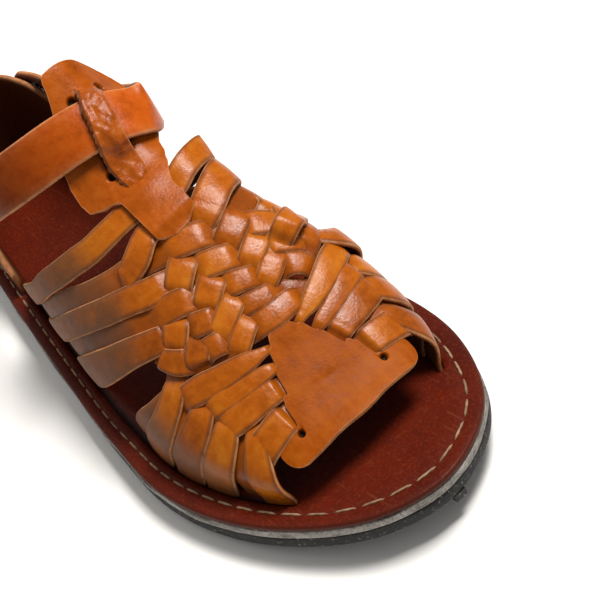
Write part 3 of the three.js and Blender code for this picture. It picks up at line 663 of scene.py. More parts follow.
def leather(name, body, deep, pale, cut="#c48a5c", dusty="#5c3a22", dust=0.0,
            roughness=0.27, grain=0.0007, wrinkles=0.14, shine=0.19):
    """Vegetable-tanned cowhide, dyed and waxed: the tan varies in soft clouds, follows fine
    pores about 0.7 mm apart, takes painted shade where a part's points ask for it, and is rough
    and pale at a cut edge."""
    n = Nodes(name)
    place = n.add("ShaderNodeTexCoord", (), 3)
    along = n.add("ShaderNodeUVMap", (), uv_map="along")
    cloud = n.noise(place, 45.0, 4.0)                       # clouds about 20 mm across
    mottle = n.noise(place, 260.0, 5.0, 0.65)               # mottling about 4 mm across
    # fibres run along the strip, about 11 mm long and 2.4 mm apart
    fibre = n.noise(n.add("ShaderNodeMapping", {0: along, 3: (90.0, 420.0, 1.0)}), 1.0, 4.0)
    # a cell of the pattern is 1.6 times as wide as its pores are apart
    pores = n.add("ShaderNodeTexVoronoi", {"Vector": place, "Scale": 1 / (grain * 1.6)})
    tint = n.value("tint")
    tone = n.math("ADD", n.fit(cloud, 0.3, 0.7, -0.35, 0.35), n.fit(mottle, 0.3, 0.7, -0.3, 0.3))
    tone = n.math("ADD", tone, n.math("MULTIPLY", tint, 0.28))
    tone = n.math("ADD", tone, n.fit(fibre, 0.3, 0.7, -0.14, 0.14))
    dark = n.mix(n.fit(tone, 0.0, -0.9, 0.0, 0.85), chosen(body), linear(deep))
    colour = n.mix(n.fit(tone, 0.0, 0.9, 0.0, 0.7), dark, linear(pale))
    border = n.fit(n.value("side"), 0.66, 0.92, 0.0, 0.8)
    colour = n.mix(border, colour, linear("#451802"))
    # painted shade: the dark colour mixed in by the points' shade value
    colour = n.mix(n.value("deep"), colour, linear(deep))
    if dust:
        worn = n.math("MULTIPLY", n.value("down"), dust)
        patchy = n.fit(n.noise(place, 120.0, 5.0, 0.7), 0.3, 0.62, 0.55, 1.0)
        colour = n.mix(n.math("MULTIPLY", worn, patchy), colour, linear(dusty))
    edge = n.math("MULTIPLY", n.value("cut"), n.fit(mottle, 0.35, 0.6, 0.45, 0.95), True)
    colour = n.mix(edge, colour, linear(cut))
    # the underside's own dark colour, also painted shade on lower side walls and inside the
    # counter
    colour = n.mix(n.value("flesh"), colour, linear("#4a240e"))
    # painted shade: near-black in the holes and in the loop's window
    colour = n.mix(n.value("hole"), colour, linear("#0b0503"))
    gloss = n.fit(mottle, 0.3, 0.7, roughness - 0.08, roughness + 0.12)
    gloss = n.math("ADD", gloss, n.math("MULTIPLY", n.value("cut"), 0.4), True)
    if dust:
        gloss = n.math("ADD", gloss, n.math("MULTIPLY", worn, 0.3), True)
    fine = n.add("ShaderNodeBump", {"Strength": 0.35, "Distance": 0.00012, "Height": pores})
    crease = n.noise(place, 520.0, 6.0, 0.6)                # creases about 2 mm apart
    bump = n.add("ShaderNodeBump", {
        "Strength": wrinkles, "Distance": 0.0005, "Height": crease, "Normal": fine})
    return n.surface(Base_Color=colour, Roughness=gloss, Normal=bump, IOR=1.5,
                     Specular_IOR_Level=shine)


def insole_leather():
    """Cowhide insole, dyed oxblood in uneven patches: its open grain and fine scratches
    show the paler hide, and its cut edge is darker."""
    n = Nodes("oxblood insole leather")
    place = n.add("ShaderNodeTexCoord", (), 3)
    cloud = n.noise(place, 28.0, 5.0, 0.6)                  # patches about 36 mm across
    fine = n.noise(place, 380.0, 6.0, 0.7)                  # mottling about 2.6 mm across
    colour = n.mix(n.fit(cloud, 0.35, 0.65), linear("#450f05"), chosen("insole"))
    colour = n.mix(n.fit(fine, 0.45, 0.75, 0.0, 0.35), colour, linear("#2d0904"))
    fleck = n.noise(place, 950.0, 3.0, 0.7)                 # open grain about 1 mm across
    colour = n.mix(n.fit(fleck, 0.5, 0.76, 0.0, 0.42), colour, linear("#7d3a1c"))
    # scratches along the shoe, about 17 mm long and 1.1 mm apart
    scratch = n.noise(n.add("ShaderNodeMapping", {0: place, 3: (60.0, 900.0, 60.0)}), 1.0, 3.0)
    colour = n.mix(n.fit(scratch, 0.62, 0.8, 0.0, 0.25), colour, linear("#92583c"))
    colour = n.mix(n.math("MULTIPLY", n.value("cut"), 0.7), colour, linear("#4a2012"))
    # painted shade: near-black on the slot's floor
    colour = n.mix(n.value("hole"), colour, linear("#140504"))
    pores = n.add("ShaderNodeTexVoronoi", {"Vector": place, "Scale": 700.0})   # 1.4 mm apart
    bump = n.add("ShaderNodeBump", {"Strength": 0.25, "Distance": 0.0002, "Height": pores})
    bump = n.add("ShaderNodeBump", {
        "Strength": 0.3, "Distance": 0.0005, "Height": cloud, "Normal": bump})
    return n.surface(Base_Color=colour, Roughness=n.fit(fine, 0.3, 0.7, 0.38, 0.6),
                     Normal=bump, IOR=1.5, Specular_IOR_Level=0.1)


def foam_rubber():
    """Cut foam rubber, pale grey with closed cells about 1 mm across, scuffed and dirty."""
    n = Nodes("scuffed foam rubber")
    place = n.add("ShaderNodeTexCoord", (), 3)
    cloud = n.noise(place, 70.0, 6.0, 0.7)                  # dirt about 14 mm across
    speck = n.noise(place, 900.0, 4.0, 0.7)                 # cells about 1.1 mm across
    colour = n.mix(n.fit(cloud, 0.35, 0.68), linear("#6f6962"), chosen("midsole"))
    colour = n.mix(n.fit(speck, 0.48, 0.66, 0.0, 0.75), colour, linear("#4a433c"))
    # streaks along the edge, about 9 mm long and 1.1 mm high
    streak = n.noise(n.add("ShaderNodeMapping", {0: place, 3: (110.0, 110.0, 900.0)}), 1.0, 4.0)
    colour = n.mix(n.fit(streak, 0.52, 0.66, 0.0, 0.8), colour, linear("#3d3732"))
    bump = n.add("ShaderNodeBump", {"Strength": 0.6, "Distance": 0.0004, "Height": speck})
    return n.surface(Base_Color=colour, Roughness=0.85, Normal=bump, IOR=1.52)


def tyre_rubber():
    """Vulcanised rubber cut from tyre stock: charcoal, rough cut, with pale scuffs."""
    n = Nodes("tyre rubber")
    place = n.add("ShaderNodeTexCoord", (), 3)
    cloud = n.noise(place, 90.0, 6.0, 0.7)                  # patches about 11 mm across
    speck = n.noise(place, 700.0, 5.0, 0.7)                 # scuffs about 1.4 mm across
    colour = n.mix(n.fit(cloud, 0.35, 0.7), chosen("outsole"), linear("#211f1d"))
    colour = n.mix(n.fit(speck, 0.58, 0.7, 0.0, 0.65), colour, linear("#a39c94"))
    bump = n.add("ShaderNodeBump", {"Strength": 0.7, "Distance": 0.0005, "Height": speck})
    return n.surface(Base_Color=colour, Roughness=0.8, Normal=bump, IOR=1.52)


def waxed_thread():
    """Waxed cotton saddle thread: cream, twisted about every 1.5 mm, dulled with dirt."""
    n = Nodes("waxed cotton thread")
    place = n.add("ShaderNodeTexCoord", (), 3)
    twist = n.add("ShaderNodeTexWave", {
        "Vector": n.add("ShaderNodeUVMap", (), uv_map="along"), "Scale": 210.0,
        "Distortion": 1.0}, bands_direction="DIAGONAL")
    dirt = n.noise(place, 160.0, 4.0)                       # dirt about 6 mm across
    colour = n.mix(n.fit(dirt, 0.35, 0.65), chosen("thread"), linear("#70533a"))
    bump = n.add("ShaderNodeBump", {"Strength": 0.6, "Distance": 0.0002, "Height": twist})
    return n.surface(Base_Color=colour, Roughness=0.75, Normal=bump, IOR=1.5)


def studio_paper():
    """Matt white background paper."""
    n = Nodes("matt white paper")
    place = n.add("ShaderNodeTexCoord", (), 3)
    cloud = n.noise(place, 3.0, 2.0)
    colour = n.mix(n.fit(cloud, 0.3, 0.7), linear("#f6f5f3"), linear("#fbfaf8"))
    return n.surface(Base_Color=colour, Roughness=0.9)


def chosen(name):
    """A colour from the scene's settings, with full alpha."""
    return (*getattr(bpy.context.scene.sandal_colours, name), 1.0)


MATERIALS = {}


def material(name):
    """Makes each finish once, with the colours in the scene's settings."""
    if not MATERIALS:
        MATERIALS.update({
            "strip": leather("waxed strip leather", "strips", "#662a02", "#c07418",
                             dust=0.9),
            "plate": leather("waxed toe plate leather", "plate", "#602804", "#b0611c",
                             wrinkles=0.08, roughness=0.4, shine=0.05),
            "tongue": leather("waxed tongue leather", "tongue", "#5a2303", "#b86622",
                              wrinkles=0.16, shine=0.13),
            "loop": leather("creased tongue leather", "tongue", "#4d1d04", "#bf7438",
                            wrinkles=0.6, roughness=0.24),
            "strap": leather("waxed strap leather", "strap", "#5c2002", "#bf641b",
                             cut="#c98f63", shine=0.13),
            "counter": leather("waxed counter leather", "counter", "#451a04", "#a25a23",
                               roughness=0.42),
            "insole": insole_leather(),
            "foam": foam_rubber(),
            "rubber": tyre_rubber(),
            "thread": waxed_thread(),
            "paper": studio_paper(),
        })
    return MATERIALS[name]


# ---- sole pieces ----
def sole_middle(x):
    """Middle line of the sole, kept in from both tips."""
    x = np.clip(x, *SPINE_ENDS)
    return np.stack([x, (edge_y("medial", x) + edge_y("lateral", x)) / 2], axis=-1)


SPINE = sole_middle(LOOP[:, 0])
TO_SPINE = SPINE - LOOP
SPINE_REACH = np.linalg.norm(TO_SPINE, axis=1)


def ring(inset, z):
    """The sole's outline moved towards its middle line by inset millimetres, at height z
    over the toe spring."""
    inset = np.asarray(inset, float) * np.ones(len(LOOP))
    plan = LOOP + TO_SPINE * (inset / SPINE_REACH)[:, None]
    return np.column_stack([plan, z + spring(plan[:, 0])])


def rough_edge(size, along, across):
    """How unevenly a layer was cut: a sine along the sole times a cosine across it."""
    return size * np.sin(LOOP[:, 0] * along) * np.cos(LOOP[:, 1] * across)


def sole_layer(rings, **values):
    """A layer of the sole: rings from the middle of its underside, round its edge, to the
    middle of its top. Each has its inset, its height and how much of it is cut edge."""
    shape = Shape()
    points = np.stack([ring(inset, height) for inset, height, _ in rings])
    cut = np.array([share for _, _, share in rings], float)[:, None]
    rows = np.arange(len(rings))[:, None]
    uv = np.stack(np.broadcast_arrays(run_along(LOOP)[None, :], rows * 2.0), axis=-1)
    index = shape.grid(points, uv, {"cut": cut, **values}, wrap=True)
    close_middle(shape, np.roll(index[0][::-1], 1))    # the other way round, to face down
    close_middle(shape, index[-1])
    return shape


def close_middle(shape, index):
    """Joins both sides of a ring across the middle line with strips of faces, the last one a
    triangle at the toe, and closes its point at the heel with a triangle."""
    there = index.tolist()
    back = there[::-1]
    for i in range(1, len(there) // 2):
        corners = (there[i], there[i + 1], back[i], back[i - 1])
        shape.faces.append(list(dict.fromkeys(corners)))
    shape.faces.append([there[0], there[1], there[-1]])


# ---- property groups ----
def colour(name, description, text):
    """A colour setting with an sRGB hex default."""
    return bpy.props.FloatVectorProperty(
        name=name, description=description, subtype="COLOR", size=3, min=0.0, max=1.0,
        default=linear(text)[:3])


def length(name, description, default, low, high):
    """A length setting in metres."""
    return bpy.props.FloatProperty(
        name=name, description=description, default=default, min=low, max=high,
        unit="LENGTH", precision=4)


class SandalColours(bpy.types.PropertyGroup):
    """Colours that a user would change."""
    strips: colour("Strips", "Body colour of the woven strips", "#9f4f05")
    plate: colour("Toe plate", "Body colour of the toe plate", "#904305")
    tongue: colour("Tongue", "Body colour of the tongue and its loop", "#984708")
    strap: colour("Strap", "Body colour of the ankle strap", "#aa4a08")
    counter: colour("Counter", "Body colour of the heel counter", "#85400f")
    insole: colour("Insole", "Lighter colour of the insole's dye", "#591706")
    midsole: colour("Midsole", "Lighter colour of the foam rubber", "#b6b2ab")
    outsole: colour("Outsole", "Darker colour of the tyre rubber", "#0d0c0b")
    thread: colour("Thread", "Colour of clean saddle thread", "#a08262")
    paper: colour("Paper", "Colour of the studio's light", "#fffefc")


class SandalSizes(bpy.types.PropertyGroup):
    """Sizes that a user would change."""
    strip_thickness: length("Strips", "Thickness of the woven strips", 0.0018, 0.001, 0.003)
    strap_width: length("Strap width", "Width of the ankle strap", 0.0184, 0.01, 0.03)
    stitch_pitch: length("Stitch pitch", "From one saddle stitch to the next", 0.0066,
                         0.003, 0.012)
    stitch_length: length("Stitch length", "Length of thread seen at each stitch", 0.0053,
                          0.001, 0.01)
    thread: length("Thread", "Diameter of the saddle thread", 0.0009, 0.0004, 0.002)


def millimetres(name):
    """One of the scene's sizes in millimetres."""
    return getattr(bpy.context.scene.sandal_sizes, name) * 1000


# ---- operators ----
class SANDAL_OT_sole(bpy.types.Operator):
    """Outsole with its tread blocks, and the midsole"""
    bl_idname = "sandal.sole"
    bl_label = "Rubber sole"

    def execute(self, context):
        low, high = LUG_DEPTH, LUG_DEPTH + RUBBER
        wave = rough_edge(0.25, 0.13, 0.21)
        outsole = sole_layer([
            (MIDDLE_INSET, low, 0), (1.0, low, 0), (0.3, low + 0.4, 1), (wave, low + 1.1, 1),
            (wave, high - 0.6, 1), (0.3, high, 1), (MIDDLE_INSET, high, 0)])
        add_tread(outsole)
        piece = outsole.build("outsole_rubber", material("rubber"), "outsole")
        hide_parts("outsole")
        low = high + LAYER_GAP
        high = low + MIDSOLE
        wave = rough_edge(0.35, 0.21, 0.17)
        midsole = sole_layer([
            (MIDDLE_INSET, low, 0), (0.84, low, 0.3), (0.21, low + 0.21, 1),
            (wave, low + 0.7, 1), (wave, high - 0.7, 1), (0.21, high - 0.21, 1),
            (0.84, high, 0.3), (MIDDLE_INSET, high, 0)])
        piece = midsole.build("midsole_foam", material("foam"), "midsole")
        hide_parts("midsole")
        return {"FINISHED"}


def add_tread(shape):
    """Tread blocks in two rows, each a block with its lower edges chamfered."""
    for i in range(TREAD_COUNT):
        rear = TREAD_FIRST - TREAD_BLOCK / 2 + i * TREAD_PITCH
        x = rear + TREAD_BLOCK * np.linspace(0, 1, 7)
        lateral = edge_y("lateral", x) + TREAD_MARGIN
        medial = edge_y("medial", x) - TREAD_MARGIN
        middle = (edge_y("lateral", x) + edge_y("medial", x)) / 2
        tread_block(shape, x, lateral, middle - TREAD_GROOVE / 2)
        tread_block(shape, x, middle + TREAD_GROOVE / 2, medial)
    rear, front, start, end, depth = NIB
    x = np.linspace(rear, front, 3)
    tread_block(shape, x, np.full(3, start), np.full(3, end), depth)


def tread_block(shape, x, start, end, depth=LUG_DEPTH):
    """A block between two y edges over the stations x: nested rings of its outline, drawn
    in by a chamfer at the bottom."""
    def outline(draw_in, z):
        mid_x, mid_y = x.mean(), (start + end) / 2
        half = (x[-1] - x[0]) / 2
        xs = mid_x + (x - mid_x) * (half - draw_in) / half
        low = start + np.sign(mid_y - start) * draw_in
        high = end + np.sign(mid_y - end) * draw_in
        there = np.column_stack([xs, low, z + spring(xs)])
        back = np.column_stack([xs, high, z + spring(xs)])[::-1]
        return np.vstack([there, back])

    bottom = LUG_DEPTH - depth
    rings = np.stack([outline(0, LUG_DEPTH + 0.4), outline(0, bottom + 0.5),
                      outline(0.5, bottom)])
    index = shape.grid(rings, rings[..., :2], {"cut": 0.0}, wrap=True)
    for row in (index[0].tolist(), index[-1].tolist()):
        back = row[::-1]
        shape.faces += [[row[i], row[i + 1], back[i + 1], back[i]] for i in range(len(x) - 1)]


def stitch_inset(x):
    """How far the saddle stitches stand in from the sole's edge: more towards the toe."""
    return 4.4 + 1.9 * ramp(x, 150, 225)


class SANDAL_OT_insole(bpy.types.Operator):
    """Leather insole with its groove and saddle stitches"""
    bl_idname = "sandal.insole"
    bl_label = "Insole"

    def execute(self, context):
        bottom, top = INSOLE_TOP - INSOLE + 0.1, INSOLE_TOP
        stitch = stitch_inset(LOOP[:, 0])
        in_slot = (LOOP[:, 0] > SLOT_REAR) & (LOOP[:, 0] < SLOT_FRONT)
        slot = np.where(in_slot, SLOT_DEPTH, 0.0)
        slot_at = smooth_at(LAST, np.clip(LOOP[:, 0], 72, 260))[:, 3] + 0.6
        rings = [(MIDDLE_INSET, bottom, 0), (0.6, bottom, 1), (0.1, bottom + 0.5, 1),
                 (0.1, top - 1.1, 1), (0.45, top - 0.35, 0.6), (1.2, top - 0.05, 0.1),
                 (2.4, top, 0), (stitch - 0.9, top, 0), (stitch, top - 0.28, 0),
                 (stitch + 0.9, top - 0.02, 0), (slot_at - 0.2, top, 0),
                 (slot_at + 0.3, top - slot, 0), (slot_at + 2.0, top - slot, 0),
                 (slot_at + 2.7, top, 0), (16, top - 0.15, 0),
                 (SPINE_REACH * 0.74, top - 0.3, 0), (SPINE_REACH * 0.88, top - 0.35, 0)]
        # hole: painted shade on the slot's floor, where the strips go in
        hole = np.zeros((len(rings), len(LOOP)))
        hole[11:13] = np.where(in_slot, 0.85, 0)      # the two rings on the slot's floor
        insole = sole_layer(rings, hole=hole)
        piece = insole.build("insole_leather", material("insole"), "insole")
        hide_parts("insole")
        thread = Shape()
        path = ring(stitch, top)
        path = np.vstack([path, path[:1]])
        add_stitches(thread, path, np.broadcast_to((0.0, 0.0, 1.0), path.shape))
        thread.build("insole_stitches", material("thread"), "insole")
        return {"FINISHED"}


def add_stitches(shape, path, normals):
    """Saddle stitches along a path: each is a short tube that rises out of the leather and
    goes back in, its middle a third of a diameter above the surface. They are counted off
    along the path by its length over the pitch, which is longer round the toe."""
    pitch, seen, diameter = (
        millimetres(name) for name in ("stitch_pitch", "stitch_length", "thread"))
    run = run_along(path)
    local_pitch = pitch * (1 + LONGER_AT_TOE * ramp(path[1:, 0], *TOE_STITCHES))
    number = np.concatenate([[0], np.cumsum(np.diff(run) / local_pitch)])
    count = int(number[-1])
    steps = np.linspace(0, 1, 7)
    wanted = np.arange(count)[:, None] + 0.5 + (steps - 0.5) * seen / pitch
    at = np.interp(wanted * number[-1] / count, number, run)
    centre, up = (np.stack([np.interp(at, run, values[:, k]) for k in range(3)], axis=-1)
                  for values in (path, normals))
    up = unit(up)
    arch = diameter * (0.3 * np.sin(np.pi * steps)**0.5 - 0.25 - 0.35 * (2 * steps - 1)**6)
    centre = centre + up * arch[None, :, None]
    along = unit(np.gradient(centre, axis=1))
    side = unit(np.cross(up, along))
    above = np.cross(along, side)
    angle = np.arange(STITCH_SIDES) * 2 * np.pi / STITCH_SIDES
    radius = diameter / 2 * (1 - 0.35 * (2 * steps - 1)**8)
    turn = (side[:, :, None] * np.cos(angle)[:, None] + above[:, :, None] * np.sin(angle)[:, None])
    tubes = centre[:, :, None] + radius[:, None, None] * turn
    for tube, place in zip(tubes, at):
        uv = np.stack(np.broadcast_arrays(place[:, None], angle), axis=-1)
        shape.tube(tube, uv, {"cut": 0.0})


class SANDAL_OT_weave(bpy.types.Operator):
    """All the strips of the woven front, strip by strip over and under"""
    bl_idname = "sandal.weave"
    bl_label = "Woven front"

    def execute(self, context):
        centre = Shape()
        sides = {True: Shape(), False: Shape()}
        for k, left_out in enumerate(MEDIAL_ROWS_LEFT_OUT):
            rear, front = REAR_FAN[k + 1], FRONT_FAN[k]
            front_medial = mirrored(front) if k else FRONT_MEDIAL_FIRST
            rear_medial = mirrored(rear[:len(rear) - left_out])
            strip(centre, rear + WEAVE_TO_MEDIAL[k] + front_medial)
            strip(centre, rear_medial + WEAVE_TO_LATERAL[k] + front)
        for rows in (REAR_FAN[0] + LOOP_MEDIAL, NECK_STRIP, EDGE_STRIP, EDGE_HOOK):
            strip(centre, rows)
        for lateral, shape in sides.items():
            for rows in PLATE_STRIPS + FRONT_FILL:
                strip(shape, rows, lateral)
        piece = centre.build("woven_strips", material("strip"), "vamp")
        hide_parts("vamp")
        sides[True].build("front_strips_lateral", material("strip"), "vamp")
        sides[False].build("front_strips_medial", material("strip"), "vamp")
        return {"FINISHED"}


def sheet_solid(x, across, top, bottom, hole):
    """A closed leather sheet on the skin between two lifts, from grids of x and across. Its
    edge is a band of faces that bulges a little in the middle."""
    shape = Shape()
    upper, lower = on_skin(x, across, top), on_skin(x, across, bottom)
    edge = np.zeros(x.shape)
    edge[[0, -1], :] = edge[:, [0, -1]] = 1
    uv = np.stack([x, across], axis=-1)
    index = shape.grid(upper, uv, {"cut": edge * 0.55, "hole": hole})
    turned = len(shape.faces)
    shape.grid(lower, uv, {"flesh": 1.0})
    shape.faces[turned:] = [face[::-1] for face in shape.faces[turned:]]
    rim = np.concatenate([index[0, :-1], index[:-1, -1], index[-1, :0:-1], index[:0:-1, 0]])
    high, low = upper.reshape(-1, 3)[rim], lower.reshape(-1, 3)[rim]
    shares = np.array([0, 0.25, 0.75, 1.0])
    band = np.stack([high * (1 - share) + low * share for share in shares])
    band[1:3] += 0.25 * unit(high - upper.mean(axis=(0, 1)))
    uv = np.stack(np.broadcast_arrays(np.arange(len(rim)), shares[:, None] * 3), axis=-1)
    shape.grid(band[:, ::-1], uv, {"cut": 1.0, "down": 0.3}, wrap=True)
    return shape


def holes_at(x, across, spots, radius):
    """1 inside each round hole at spots (x, across), and a soft step down to 0 round it."""
    away = np.min([np.hypot(x - spot_x, across - spot_across) for spot_x, spot_across in spots],
                  axis=0)
    return 1 - ramp(away, radius * 0.55, radius * 1.25)


class SANDAL_OT_toe_plate(bpy.types.Operator):
    """Toe plate with its slits, corner holes and soft wrinkles"""
    bl_idname = "sandal.toe_plate"
    bl_label = "Toe plate"

    def execute(self, context):
        rows, columns = 150, 90
        share = np.sin(np.pi / 2 * np.linspace(-1, 1, rows))[:, None]
        forward = np.linspace(0, 1, columns)[None, :]
        across = share * PLATE_HALF + 0 * forward
        out = np.abs(across)
        rear = (np.interp(out, *PLATE_REAR.T) - 0.6 + slit_notches(out)
                + corner_drop(out, PLATE_EAR))
        front = PLATE_FRONT - PLATE_BOW * out**2 - corner_drop(out, PLATE_CORNER)
        x = rear + (front - rear) * forward
        x = x + 0.2 * np.sin(across * 0.33 + 1) * forward**6        # a hand-cut front edge
        # hole: shallow dimples, painted near-black as their shade
        hole = holes_at(x, across, PLATE_HOLES, PLATE_HOLE_RADIUS)
        level = 1.0 + plate_folds(x, across)
        shape = sheet_solid(x, across, level - PLATE_HOLE_DEPTH * hole,
                            level - PLATE_THICKNESS, hole)
        piece = shape.build("toe_plate_leather", material("plate"), "toe_plate")
        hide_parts("toe_plate")
        return {"FINISHED"}


def corner_drop(out, radius):
    """How far a round corner of the plate falls back from its straight edge: a quarter
    circle of the radius that ends at the plate's half width."""
    inside = np.clip(out - (PLATE_HALF - radius), 0, radius)
    return radius - np.sqrt(radius**2 - inside**2)


def slit_notches(out):
    """The plate's rear edge steps forward at each slit, as a bell curve across it."""
    return sum(depth * np.exp(-((out - place) / width)**2) for place, width, depth in PLATE_SLITS)


def plate_folds(x, across):
    """Soft folds of the plate: a shallow trough over the toes, a lift at the front edge and
    small ridges where the slits pull on it."""
    trough = -0.25 * np.exp(-((x - 236) / 5)**2) * np.exp(-(across / 14)**2)
    crease = -0.16 * np.exp(-((x - 233.5 - 0.12 * across) / 1.1)**2) * np.exp(-(across / 5)**2)
    lip = 0.5 * ramp(x, 243, 249)
    pull = 0.08 * np.sin(x * 0.45 + across * 0.3) * ramp(np.abs(across), 3, 12)
    rear = 0.45 * ramp(x, 222, 214)
    return trough + crease + lip + pull + rear


class SANDAL_OT_tongue(bpy.types.Operator):
    """Flared tongue, and its loop over the ankle strap"""
    bl_idname = "sandal.tongue"
    bl_label = "Tongue"

    def execute(self, context):
        rows = np.concatenate([np.linspace(113, 118, 24), np.linspace(118.3, 168, 130),
                               np.linspace(168.3, 173.2, 16)])[:, None]
        columns = np.linspace(-1, 1, 90)[None, :]
        past = ((rows - TONGUE_ROUND_FROM) / TONGUE_END_RADIUS).clip(0, 0.97)
        half = column(TONGUE, 2, rows) * np.sqrt(1 - past**2)
        across = column(TONGUE, 1, rows) + half * columns
        x = rows + 0 * across
        hole = holes_at(x, across, TONGUE_HOLES, TONGUE_HOLE_RADIUS)
        window = loop_window(x, across)
        over = 1.4 * ramp(rows, 144, 158)             # up on to the weave
        tuck = 1.8 * ramp(rows, 167.5, 173.2)         # and down under its middle
        level = (column(TONGUE, 3, rows) + flat_wing(x, across) + over - tuck
                 + tongue_folds(x, across) - WINDOW_DEPTH * window)
        top = level + TONGUE_GAP + TONGUE_THICKNESS - TONGUE_HOLE_DEPTH * hole
        # the loop's window gets 0.8 of the painted hole shade
        shape = sheet_solid(x, across, top, level + TONGUE_GAP,
                            np.maximum(hole, 0.8 * window))
        piece = shape.build("tongue_leather", material("tongue"), "tongue")
        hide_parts("tongue")
        tongue_loop().build("tongue_loop", material("loop"), "tongue")
        return {"FINISHED"}


def flat_wing(x, across):
    """The tongue is flatter than the foot: its medial side stands off the skin by a
    parabola from 12 mm out, most at its upper end."""
    return 0.024 * np.maximum(across - 12, 0)**2 * ramp(x, 160, 140)


def loop_window(x, across):
    """1 inside the opening that the loop was cut from, 0 outside it."""
    away = np.abs(across - column(BRIDGE, 1, x))
    half = column(BRIDGE, 3, x) / 2
    inside = 1 - ramp(away, half - 0.6, half + 0.5)
    return inside * ramp(x, 123, 124.4) * ramp(x, 144.2, 142.6)


def tongue_folds(x, across):
    """Soft folds of the tongue: its wings curl down, its neck has a shallow hollow, and it
    rolls gently between the strap and the weave."""
    curl = 0.5 * np.exp(-((across - 1) / 6)**2) * ramp(x, 166, 158) * ramp(x, 150, 156)
    wave = 0.3 * np.sin(x * 0.42 + across * 0.35) * ramp(x, 150, 140) * ramp(x, 126, 134)
    wing = 0.9 * ramp(across, -6, -15) * ramp(x, 130, 138)
    return curl + wave - wing


def tongue_loop():
    """The loop as a ribbon: its middle runs through BRIDGE's rows, its flat section is
    carried square to it, and lengthwise creases wander over it as sines of the width."""
    x, across, top, width = through(BRIDGE, 14).T
    path = on_skin(x, across, top)
    along = unit(np.gradient(path, axis=0))
    side = unit(np.cross(unit(sample(SKIN_NORMALS, x, across)), along))
    normal = np.cross(along, side)
    run = run_along(path)[:, None]
    place, rise, cut, flesh = SECTION_FINE.T
    ragged = 0.35 * np.sin(run * 1.9) * np.sin(run * 0.73 + 1)
    half = width[:, None] / 2 * place + ragged * (place < -0.9)
    wander = np.sin(run * 0.31) + 0.6 * np.sin(run * 0.83 + 1)
    crease = (0.26 * np.sin(4.2 * place + wander) + 0.12 * np.sin(9 * place - 2 * wander)
              + 0.05 * np.sin(run * 1.3 + 3 * place + 2 * wander))
    from_end = np.minimum(run, run[-1] - run)
    lift = (0.5 * (1 - place**2) + crease) * (rise > 0.95) * ramp(from_end, 1.5, 4)
    lift = lift - LOOP_THICKNESS * (1 - rise)
    shape = Shape()
    ribbon(shape, path, side, normal, half, lift, {
        "cut": cut * 0.5, "flesh": flesh, "side": np.abs(place) * 0.75,
        "deep": (place < -0.85) * 0.85})
    return shape


def ribbon(shape, path, side, normal, half, lift, values):
    """A tube whose section has its points half to the side of the path and lift above it."""
    points = path[:, None] + side[:, None] * half[..., None] + normal[:, None] * lift[..., None]
    run = np.broadcast_to(run_along(path)[:, None], half.shape)
    shape.tube(points, np.stack([run, half], axis=-1), values)


class SANDAL_OT_strap(bpy.types.Operator):
    """Ankle strap, from the outside of the heel counter over the tongue and back"""
    bl_idname = "sandal.strap"
    bl_label = "Ankle strap"

    def execute(self, context):
        points, normals = strap_line()
        path, normal = through(points, 12), unit(through(normals, 12))
        along = unit(np.gradient(path, axis=0))
        normal = unit(normal - along * (normal * along).sum(1, keepdims=True))
        side = np.cross(along, normal)
        run = run_along(path)[:, None]
        place, rise, cut, flesh = SECTION.T
        from_end = np.clip(np.minimum(run, run[-1] - run) / STRAP_END, 0, 1)
        rounded = np.sqrt(1 - 0.75 * (1 - from_end)**2)
        slimmer = 1 - 0.1 * ramp(run, 150, 190)       # towards the medial side
        half = millimetres("strap_width") / 2 * rounded * slimmer * place
        sag = 0.4 * np.sin(run * 0.09) * place
        lift = LEATHER * (rise - 0.5) + 0.5 * (1 - place**2) * (rise > 0) + sag
        # painted shade, darker towards the strap's lateral end
        lateral_end_shade = 0.8 * ramp(run, 165, 95)            # darker towards its lateral end
        shape = Shape()
        ribbon(shape, path, side, normal, half, lift,
               {"cut": cut, "flesh": flesh, "deep": lateral_end_shade, "down": 0.2})
        piece = shape.build("ankle_strap_leather", material("strap"), "ankle_strap")
        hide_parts("ankle_strap")
        return {"FINISHED"}


def strap_line():
    """Points and normals of the strap's middle line from the lateral end to the medial."""
    def on_counter(rows):
        distance, height = np.array(rows, float).T
        up = counter_point(distance, height + 3, 0) - counter_point(distance, height - 3, 0)
        along = counter_point(distance + 3, height, 0) - counter_point(distance - 3, height, 0)
        normal = unit(np.cross(up, along))
        return counter_point(distance, height, 0) + normal * (0.6 + LEATHER / 2), normal

    x, across, lift = np.array(STRAP_SKIN, float).T
    parts = [on_counter(STRAP_HEEL_LATERAL),
             (on_skin(x, across, lift), unit(sample(SKIN_NORMALS, x, across))),
             (STRAP_MEDIAL[:, :3], unit(STRAP_MEDIAL[:, 3:])),
             on_counter(STRAP_HEEL_MEDIAL)]
    return [np.vstack(values) for values in zip(*parts)]


